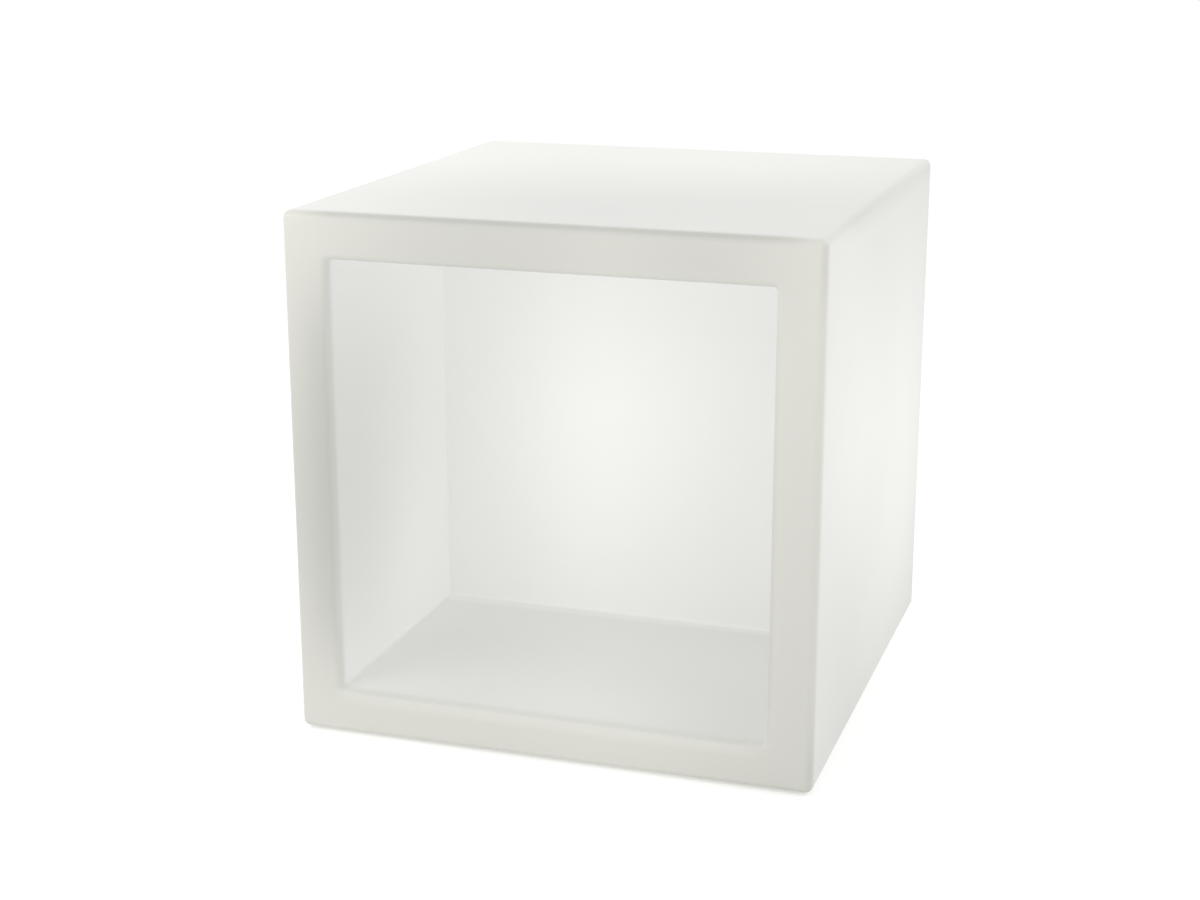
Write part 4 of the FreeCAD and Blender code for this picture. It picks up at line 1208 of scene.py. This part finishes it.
    def sag_walls(self, shaper: Shaper) -> None:
        """Lets the plain walls sink a little, as a cooled moulding's do.

        Args:
            shaper: the shell's mesh.
        """
        ones = Vector((1, 1, 1))
        half = (self.high - self.low) / 2 - ones * self.edge
        bay_half = (self.bay_high - self.bay_low) / 2 - ones * self.bay_corner
        bay_middle = (self.bay_low + self.bay_high) / 2
        for axis, place, depth in ((Axis.UP, self.high.z, -self.sag),
                                   (Axis.ACROSS, self.high.x, -self.sag),
                                   (Axis.ACROSS, self.low.x, self.sag)):
            shaper.sink(axis, place, depth, self.middle, half)
        for axis, place, depth in ((Axis.DEEP, self.bay_high.y, self.sag),
                                   (Axis.UP, self.bay_high.z, self.sag / 2),
                                   (Axis.UP, self.bay_low.z, -self.sag / 2),
                                   (Axis.ACROSS, self.bay_high.x, self.sag / 2),
                                   (Axis.ACROSS, self.bay_low.x, -self.sag / 2)):
            shaper.sink(axis, place, depth, bay_middle, bay_half)

    def recess(self, shaper: Shaper) -> None:
        """Sinks the rear recess with its port, and the six holes for the cover's inserts.

        Args:
            shaper: the shell's mesh.
        """
        rear, floor = self.high.y, self.high.y - self.recess_depth
        middle = Vector((0.0, rear, self.middle.z))
        radius = self.recess_radius
        profile = [(radius + self.recess_rim, rear), (radius, rear, self.recess_rim),
                   (radius, floor), (self.screw_ring + self.ring_half, floor),
                   (self.screw_ring - self.ring_half, floor), (self.port_radius, floor)]
        shaper.let_in(lambda: shaper.lathe(profile, middle, Axis.DEEP, self.recess_steps),
                      middle, Axis.DEEP,
                      lambda point: max(abs(point.x), abs(point.z)) < self.recess_patch)
        hole = self.insert_hole(floor, -1.0)
        for k in range(self.screw_count):
            angle = math.radians(90.0) + k * math.tau / self.screw_count
            out = Vector((-math.cos(angle), 0.0, math.sin(angle)))
            place = Vector((0.0, floor, self.middle.z)) + out * self.screw_ring
            shaper.let_in(lambda: shaper.lathe(hole, place, Axis.DEEP, self.insert_steps),
                          place, Axis.DEEP,
                          lambda point: (point.length < self.insert_patch
                                         and abs(point.dot(out)) < self.ring_half))

    def insert_hole(self, start: float, way: float) -> list[Span]:
        """The profile of a blind hole for a threaded insert."""
        end = start + way * self.insert_depth
        return [(self.insert_radius, start), (self.insert_radius, end), (0.0, end)]

    def pockets(self, shaper: Shaper) -> None:
        """Sinks the four foot pockets, each with the hole for its insert.

        Args:
            shaper: the shell's mesh.
        """
        under = self.low.z
        roof = under + self.pocket_depth
        profile = [(self.pocket_radius, under), (self.pocket_radius, roof),
                   *self.insert_hole(roof, 1.0)]
        for across in (-self.foot_across, self.foot_across):
            for deep in (-self.foot_deep, self.foot_deep):
                centre = Vector((across, deep, under))
                shaper.let_in(lambda: shaper.lathe(profile, centre, Axis.UP, self.pocket_steps),
                              centre, Axis.UP,
                              lambda point: max(abs(point.x), abs(point.y)) < self.pocket_patch)


# ---- Feet, rubber cap, button ----------------------------------------------------------------
@dataclass
class Feet:
    """Four rubber feet with tread rings, sunk for their screws."""

    across: float = 170.0 * MM
    deep: float = 180.0 * MM
    radius: float = 13.0 * MM
    top: float = 4.5 * MM
    seat: float = 3.0 * MM
    sink: float = 5.0 * MM
    hole: float = 2.1 * MM
    chamfer: float = 1.0 * MM
    tread: float = 0.5 * MM
    groove: float = 1.0 * MM
    groove_slope: float = 0.25 * MM
    grooves: tuple[float, ...] = (10.9 * MM, 9.1 * MM, 7.3 * MM)

    def build(self, material: Material) -> Piece:
        """Builds the feet in place of their plain solids.

        Args:
            material: their finish.

        Returns:
            The feet.
        """
        shaper = Shaper()
        profile = [(self.hole, self.top), (self.radius, self.top), (self.radius, self.chamfer),
                   (self.radius - self.chamfer, 0.0)]
        for outer in self.grooves:
            inner = outer - self.groove
            profile += [(outer, 0.0), (outer - self.groove_slope, self.tread),
                        (inner + self.groove_slope, self.tread), (inner, 0.0)]
        profile += [(self.sink, 0.0), (self.sink, self.seat), (self.hole, self.seat)]
        for x in (-self.across, self.across):
            for y in (-self.deep, self.deep):
                shaper.lathe(profile, Vector((x, y, 0.0)), Axis.UP, closed=True)
        feet = shaper.piece("rubber_feet", Slot.RUBBER, material)
        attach(feet, Body.CUBE.value)
        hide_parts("feet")
        return feet


@dataclass
class RubberCap:
    """The charging socket's cap, its strap and the strap's fixed end, moulded in one."""

    across: float = -27.0 * MM
    socket_up: float = 211.0 * MM
    radius: float = 9.0 * MM
    top: float = 217.3 * MM
    bottom: float = 214.3 * MM
    dish: float = 0.25 * MM
    dish_radius: float = 5.6 * MM
    dish_rim: float = 6.2 * MM
    edge: float = 1.0 * MM
    disc_steps: int = 64
    crease: float = 40.0
    plug_end: float = 211.3 * MM
    plug_outer: float = 2.9 * MM
    plug_inner: float = 2.2 * MM
    plug_edges: Span = (0.3 * MM, 0.2 * MM)
    overlap: float = 2.0 * MM
    strap_half: float = 3.5 * MM
    strap_low: float = 215.0 * MM
    strap_high: float = 216.6 * MM
    strap_edge: float = 0.35 * MM
    bend: float = 226.0 * MM
    bend_half: float = 2.2 * MM
    bend_step: float = 0.4 * MM
    bend_steps: int = 8
    waist_half: float = 2.4 * MM
    waist: float = 0.3
    tab_end: float = 197.0 * MM
    tab_corner: float = 1.6 * MM
    tab_edge: float = 0.3 * MM
    corner_steps: int = 6
    rib_count: int = 3
    rib_half: float = 2.4 * MM
    rib_width: float = 0.6 * MM
    rib_height: float = 0.3 * MM
    rib_spacing: float = 1.3 * MM
    rib_edge: float = 0.15 * MM
    first_rib: float = 1.1 * MM
    pad_start: float = 230.2 * MM
    pad_end: float = 237.2 * MM
    pad_bottom: float = 211.0 * MM
    pad_corner: float = 2.0 * MM
    pad_edge: float = 0.4 * MM
    stud_up: float = 233.7 * MM
    stud_radius: float = 2.0 * MM
    stud_end: float = 206.0 * MM
    stud_steps: int = 32
    barb: float = 0.9 * MM
    point: float = 0.4 * MM
    wall: float = 2.5 * MM

    def build(self, material: Material) -> Piece:
        """Builds the cap with its strap, which runs between the cube and the cap.

        Args:
            material: its finish.

        Returns:
            The cap.
        """
        parts = [self.strap(material), self.tab(material), self.pad(material),
                 self.stud(material), *self.ribs(material)]
        cap = joined(self.disc(material), parts)
        smooth(cap.data, self.crease)
        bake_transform(cap)
        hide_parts("port_cap", "cap_anchor")
        return cap

    def turned(self, name: str, up: float, profile: Sequence[tuple[float, ...]], steps: int,
               material: Material) -> Piece:
        """A round piece on an axis that points to the rear.

        Args:
            name: its name.
            up: its axis' height.
            profile: its section, as for Shaper.lathe.
            steps: how many steps a full turn has.
            material: its finish.

        Returns:
            The piece.
        """
        shaper = Shaper()
        shaper.lathe(profile, Vector((self.across, 0.0, up)), Axis.DEEP, steps)
        return shaper.piece(name, Slot.RUBBER, material)

    def bar(self, bottom: float, start: float, end: float) -> Shaper:
        """Starts a flat bar, as wide as the strap and flush with its outer face.

        Args:
            bottom: where its inner face is.
            start: its lower end.
            end: its upper end.

        Returns:
            Its mesh in the making.
        """
        shaper = Shaper()
        shaper.block(Vector((self.across - self.strap_half, bottom, start)),
                     Vector((self.across + self.strap_half, self.strap_high, end)))
        return shaper

    def disc(self, material: Material) -> Piece:
        """The round cap, faintly dished, and the hollow plug under it.

        Args:
            material: its finish.

        Returns:
            The piece.
        """
        return self.turned("socket_cap", self.socket_up, [
            (0.0, self.top - self.dish), (self.dish_radius, self.top - self.dish),
            (self.dish_rim, self.top), (self.radius, self.top, self.edge),
            (self.radius, self.bottom, self.edge / 3), (self.plug_outer, self.bottom),
            (self.plug_outer, self.plug_end, self.plug_edges[0]),
            (self.plug_inner, self.plug_end, self.plug_edges[1]),
            (self.plug_inner, self.bottom), (0.0, self.bottom)], self.disc_steps, material)

    def strap(self, material: Material) -> Piece:
        """The flat strap from the cap to its fixed end, thinner at the bend.

        Args:
            material: its finish.

        Returns:
            The piece.
        """
        shaper = self.bar(self.strap_low, self.socket_up + self.radius - self.overlap,
                          self.pad_start + self.overlap / 2)
        shaper.round_edges(self.strap_edge, 3, lambda edge: runs_along(edge, Axis.UP))
        shaper.cut(Axis.UP, [self.bend + k * self.bend_step
                             for k in range(-self.bend_steps, self.bend_steps + 1)])
        middle = (self.strap_low + self.strap_high) / 2
        for vert in shaper.mesh.verts:
            near = max(0.0, 1.0 - abs(vert.co.z - self.bend) / self.waist_half)
            share = 1.0 - self.waist * near * near * (3.0 - 2.0 * near)
            vert.co.y = middle + (vert.co.y - middle) * share
        return shaper.piece("strap", Slot.RUBBER, material)

    def tab(self, material: Material) -> Piece:
        """The pull tab below the cap.

        Args:
            material: its finish.

        Returns:
            The piece.
        """
        start = self.socket_up - self.radius + self.overlap
        shaper = self.bar(self.strap_low, self.tab_end, start)
        shaper.round_edges(self.tab_corner, self.corner_steps, lambda edge: (
            runs_along(edge, Axis.DEEP) and edge.verts[0].co.z < start - MM))
        shaper.round_edges(self.tab_edge, 2, is_sharp)
        return shaper.piece("tab", Slot.RUBBER, material)

    def ribs(self, material: Material) -> list[Piece]:
        """The pull tab's grip ribs, half sunk in it.

        Args:
            material: their finish.

        Returns:
            The ribs, from the tab's lower end upwards.
        """
        size = Vector((2 * self.rib_half, 2 * self.rib_height, self.rib_width))
        made = []
        for k in range(self.rib_count):
            shaper = Shaper()
            low = Vector((self.across - self.rib_half, self.strap_high - self.rib_height,
                          self.tab_end + self.first_rib + k * self.rib_spacing))
            shaper.block(low, low + size)
            shaper.bevel(shaper.mesh.edges[:], self.rib_edge, 2)
            made.append(shaper.piece(f"rib_{k + 1}", Slot.RUBBER, material))
        return made

    def pad(self, material: Material) -> Piece:
        """The block that the strap grows out of, flat on the cover.

        Args:
            material: its finish.

        Returns:
            The piece.
        """
        shaper = self.bar(self.pad_bottom, self.pad_start, self.pad_end)
        shaper.round_edges(self.pad_corner, self.corner_steps, lambda edge: (
            runs_along(edge, Axis.DEEP) and edge.verts[0].co.z > self.pad_end - MM))
        shaper.round_edges(self.pad_edge, 3, lambda edge: (
            all(abs(vert.co.y - self.strap_high) < TOUCH for vert in edge.verts)
            and is_sharp(edge)))
        return shaper.piece("pad", Slot.RUBBER, material)

    def stud(self, material: Material) -> Piece:
        """The barbed stud that holds the pad in the cover's wall.

        Args:
            material: its finish.

        Returns:
            The piece.
        """
        head, through = self.pad_bottom + self.overlap / 2, self.pad_bottom - self.wall
        return self.turned("stud", self.stud_up, [
            (0.0, head), (self.stud_radius, head), (self.stud_radius, through),
            (self.stud_radius + self.barb, through),
            (self.stud_radius + self.barb, through - self.point),
            (self.stud_radius - self.point, self.stud_end), (0.0, self.stud_end)],
            self.stud_steps, material)


@dataclass
class Button:
    """What Blender adds to the push button: the sign on its face and its real spring."""

    across: float = 27.0 * MM
    up: float = 217.0 * MM
    dish_low: float = 216.1 * MM
    dish_radius: float = 13.0 * MM
    ring_radius: float = 2.2 * MM
    sign_width: float = 0.45 * MM
    sign_height: float = 0.08 * MM
    gap_angle: float = 38.0
    ring_steps: int = 48
    bar_ends: Span = (0.9 * MM, 3.3 * MM)
    bar_steps: int = 8
    travel: float = 2.0 * MM
    wire: float = 0.8 * MM
    wire_sides: int = 12
    turns: float = 4.0
    turn_steps: int = 32

    def sign(self, material: Material) -> Piece:
        """The generic on and off sign: an open ring with a bar in its gap.

        Args:
            material: its finish.

        Returns:
            The sign.
        """
        shaper = Shaper()
        height = self.dish_height(self.ring_radius)
        shift = Vector((0.0, 0.0, self.ring_radius))
        gap = math.radians(self.gap_angle)
        self.sweep(shaper, self.section(shaper, shift, height, Axis.UP), Axis.DEEP, height,
                   (gap, math.tau - gap), self.ring_steps)
        pivot = self.dish_low + self.dish_radius
        ends = tuple(-math.asin(end / self.dish_radius) for end in self.bar_ends)
        self.sweep(shaper, self.section(shaper, Vector(), self.dish_low, Axis.ACROSS),
                   Axis.ACROSS, pivot, ends, self.bar_steps)
        made = shaper.piece("button_sign", Slot.BUTTON_METAL, material)
        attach(made, Body.BUTTON.value)
        return made

    def dish_height(self, radius: float) -> float:
        """Where the button's dished face is, at a distance from its axis."""
        return self.dish_low + self.dish_radius - math.sqrt(self.dish_radius ** 2 - radius ** 2)

    def section(self, shaper: Shaper, shift: Vector, height: float,
                width: Axis) -> bmesh.types.BMFace:
        """The sign's cross-section: a small rectangle half sunk in the button's face.

        Args:
            shaper: the mesh that it goes into.
            shift: its middle, from the button's axis.
            height: where the button's face is there.
            width: the direction that its width lies in.

        Returns:
            Its face.
        """
        middle = Vector((self.across, height, self.up)) + shift
        side, rise = width.direction * self.sign_width / 2, Axis.DEEP.direction * self.sign_height
        corners = [middle + side * a + rise * b for a, b in SQUARE]
        return shaper.mesh.faces.new([shaper.mesh.verts.new(corner) for corner in corners])

    def sweep(self, shaper: Shaper, face: bmesh.types.BMFace, axis: Axis, height: float,
              angles: Span, steps: int) -> None:
        """Draws a section along an arc.

        Args:
            shaper: the mesh that it is in.
            face: the section.
            axis: the arc's axis.
            height: where the arc's centre is, on the button's axis.
            angles: where the arc starts and ends.
            steps: how many steps it has.
        """
        start, end = angles
        centre = Vector((self.across, height, self.up))
        bmesh.ops.rotate(shaper.mesh, cent=centre, verts=face.verts[:],
                         matrix=Matrix.Rotation(start, 3, axis.direction))
        bmesh.ops.spin(shaper.mesh, geom=[face, *face.edges, *face.verts], cent=centre,
                       axis=axis.direction, angle=end - start, steps=steps)

    def spring(self, material: Material) -> Piece:
        """The return spring, a coil of round wire.

        Args:
            material: its finish.

        Returns:
            The spring.
        """
        low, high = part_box("button_spring")
        length, half = high.y - low.y, self.wire / 2
        shaper = Shaper()
        section = bmesh.ops.create_circle(shaper.mesh, cap_ends=True, radius=half,
                                          segments=self.wire_sides)["verts"]
        start = Vector((high.x - half, low.y + half, self.up))
        bmesh.ops.translate(shaper.mesh, vec=start, verts=section)
        steps = int(self.turns * self.turn_steps)
        geometry = [*section, *shaper.mesh.edges, *shaper.mesh.faces]
        bmesh.ops.spin(shaper.mesh, geom=geometry, cent=(self.across, start.y, self.up),
                       axis=Axis.DEEP.direction, angle=self.turns * math.tau, steps=steps,
                       dvec=(0.0, (length - self.wire) / steps, 0.0))
        made = shaper.piece("return_spring", Slot.SPRING_STEEL, material)
        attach(made, Body.CUBE.value)
        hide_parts("button_spring")
        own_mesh(made)
        return made


# ---- Camera, light and floor -----------------------------------------------------------------
@dataclass
class Viewpoint:
    """The photograph's camera."""

    position: Triple = (0.5094, -1.6436, 0.6860)
    target: Triple = (-0.0246, -0.0133, 0.1995)
    lens: float = 61.54
    sensor: float = 36.0
    clip: Span = (0.05, 100.0)

    def build(self) -> None:
        """Places the camera and makes it the scene's."""
        data = bpy.data.cameras.new("camera")
        data.lens, data.sensor_width, data.sensor_fit = self.lens, self.sensor, "HORIZONTAL"
        data.clip_start, data.clip_end = self.clip
        camera = linked("camera", data)
        aim(camera, self.position, self.target)
        bpy.context.scene.camera = camera


@dataclass(frozen=True)
class Lamp:
    """A large soft lamp."""

    name: str
    position: Triple
    size: float
    power: float


@dataclass
class Studio:
    """White surroundings, soft lamps and a pale floor."""

    sky: float = 0.78
    floor_colour: Triple = (0.90, 0.90, 0.90)
    floor_lift: float = 0.30
    floor_size: float = 20.0
    lamp_target: Triple = (0.0, 0.0, 0.2)
    lamps: tuple[Lamp, ...] = (
        Lamp("key", (-1.1, -1.5, 1.5), 1.2, 9.0),
        Lamp("fill", (1.9, 1.0, 1.6), 1.6, 8.0),
    )

    def build(self) -> None:
        """Sets up the view, the surroundings, the lamps and the floor."""
        bpy.context.scene.view_settings.view_transform = "Standard"
        self.surroundings()
        for lamp in self.lamps:
            data = bpy.data.lights.new(lamp.name, "AREA")
            data.size, data.energy = lamp.size, lamp.power
            aim(linked(lamp.name, data), lamp.position, self.lamp_target)
        self.floor()

    def surroundings(self) -> None:
        """A world that lights softly and looks white."""
        world = bpy.data.worlds.new("surroundings")
        graph = Graph(world)
        lighting, shown = (graph.node("ShaderNodeBackground",
                                      inputs={"Color": opaque(WHITE), "Strength": strength})
                           for strength in (self.sky, 1.0))
        mixed = graph.node("ShaderNodeMixShader", inputs={
            0: graph.seen(), 1: lighting.outputs[0], 2: shown.outputs[0]})
        graph.node("ShaderNodeOutputWorld", inputs={"Surface": mixed.outputs[0]})
        bpy.context.scene.world = world

    def floor(self) -> None:
        """A pale floor that keeps the cube's shadow and can be looked through from below."""
        graph = Graph(bpy.data.materials.new("floor"))
        matt = graph.node("ShaderNodeBsdfDiffuse", inputs={"Color": opaque(self.floor_colour)})
        lift = graph.node("ShaderNodeEmission", inputs={
            "Color": opaque(WHITE), "Strength": graph.seen() * self.floor_lift})
        lifted = graph.node("ShaderNodeAddShader", inputs={0: matt.outputs[0], 1: lift.outputs[0]})
        clear = graph.node("ShaderNodeBsdfTransparent")
        below = graph.node("ShaderNodeNewGeometry").outputs["Backfacing"]
        mixed = graph.node("ShaderNodeMixShader", inputs={
            0: below, 1: lifted.outputs[0], 2: clear.outputs[0]})
        graph.node("ShaderNodeOutputMaterial", inputs={"Surface": mixed.outputs[0]})
        shape = bmesh.new()
        bmesh.ops.create_grid(shape, x_segments=1, y_segments=1, size=self.floor_size)
        data = bpy.data.meshes.new("floor")
        shape.to_mesh(data)
        shape.free()
        data.materials.append(graph.owner)
        floor = linked("floor", data)


# ---- Putting it together ---------------------------------------------------------------------
RUBBER = Moulded((0.022, 0.022, 0.023), 0.72, grain=0.35 * MM, depth=0.03 * MM, dust=0.10)
NODE_FINISHES: dict[Finish, str] = {
    # The service cover's glow is painted light, standing in for the lamp's light through it.
    Moulded((0.66, 0.665, 0.64), 0.46, grain=0.45 * MM, cloud=0.01, glow=0.21): "service_cover",
    RUBBER: "cover_gasket button_seal socket_seal vent_seal lead_grommet",
    Metal((0.60, 0.60, 0.61), 0.28): "foot_screws cover_washers cover_screws clamp_screws "
                                     "carrier_screws opal_screws chassis_screws",
    Metal((0.56, 0.56, 0.57), 0.35, Polish.ALONG_Z): "battery_clamp",
    Metal((0.72, 0.53, 0.26), 0.30): "foot_inserts cover_inserts",
    Metal((0.74, 0.70, 0.62), 0.18): "socket_pin",
    Metal((0.64, 0.64, 0.65), 0.24): "button_housing",
    Metal((0.68, 0.68, 0.69), 0.20): "power_button",
    Moulded((0.020, 0.020, 0.022), 0.42, grain=0.3 * MM, depth=0.015 * MM):
        "button_nut switch_block socket_nut vent_nut battery_tray",
    Moulded((0.018, 0.018, 0.019), 0.34, grain=0.6 * MM, depth=0.01 * MM): "charge_socket",
    Moulded((0.028, 0.028, 0.030), 0.48, grain=0.3 * MM): "vent_plug",
    Moulded((0.012, 0.010, 0.014), 0.12, grain=2.0 * MM, depth=0.002 * MM, coat=0.5):
        "remote_receiver",
    Moulded((0.025, 0.025, 0.028), 0.38, grain=0.4 * MM, depth=0.01 * MM): "board_parts",
    Moulded((0.80, 0.80, 0.79), 0.85, grain=0.12 * MM, depth=0.03 * MM, cloud=0.04):
        "vent_membrane",
    LitWindow((0.25, 0.42, 0.30), (0.22, 0.80, 0.34), 0.50, 0.15): "indicator_lens",
    Metal((0.66, 0.61, 0.48), 0.32): "lower_standoffs upper_standoffs",
    Circuit(): "control_board",
    Metal((0.78, 0.78, 0.79), 0.38, Polish.ALONG_X): "chassis_plate",
    Metal((0.80, 0.80, 0.81), 0.33, Polish.ALONG_Z): "lamp_carrier",
    Sleeve(): "battery_cells",
    Metal((0.72, 0.70, 0.66), 0.25, Polish.ALONG_Z): "battery_contacts",
    Moulded((0.78, 0.78, 0.77), 0.36, depth=0.01 * MM, cloud=0.03): "light_strips",
    LitWindow((0.85, 0.72, 0.30), (1.0, 0.97, 0.90), 1.6, 0.2): "light_chips",
    LitWindow((0.80, 0.80, 0.79), (1.0, 0.99, 0.95), 0.55, 0.35): "opal_cover",
    Insulation((0.35, 0.02, 0.02), (0.02, 0.02, 0.02), 27.0 * MM): "button_lead",
    Insulation((0.02, 0.02, 0.02), (0.35, 0.02, 0.02), -26.0 * MM): "charge_lead",
    Insulation((0.35, 0.02, 0.02), (0.02, 0.02, 0.02), -39.7 * MM): "battery_lead",
    Insulation((0.55, 0.55, 0.54), (0.55, 0.55, 0.54), 0.0): "lamp_lead",
}


def dress_nodes() -> None:
    """Gives every node that stays its own finish, one material for each kind."""
    for finish, names in NODE_FINISHES.items():
        nodes = names.split()
        material = finish.dress(f"{nodes[0]}_finish")
        for name in nodes:
            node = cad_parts[name]
            node.data.materials.clear()
            node.data.materials.append(material)
            log.info("dressed %s", name)


def main() -> None:
    """Builds the camera, the stage and every piece, in order."""
    logging.basicConfig(level=logging.INFO, format="%(name)s: %(message)s")
    Viewpoint().build()
    Studio().build()
    rubber = RUBBER.dress("soft_rubber")
    sign_ink = Moulded((0.03, 0.03, 0.032)).dress("sign_ink")
    spring_wire = Metal((0.55, 0.55, 0.57), 0.22, line=0.15 * MM).dress("spring_wire")
    made = [
        MouldedShell().build(GlowingSkin().dress("glowing_skin")),
        Feet().build(rubber),
        RubberCap().build(rubber),
        Button().sign(sign_ink),
        Button().spring(spring_wire),
    ]
    for piece in made:
        log.info("built %s with %d faces", piece.name, len(piece.data.polygons))
    dress_nodes()


if __name__ == "__main__":
    main()
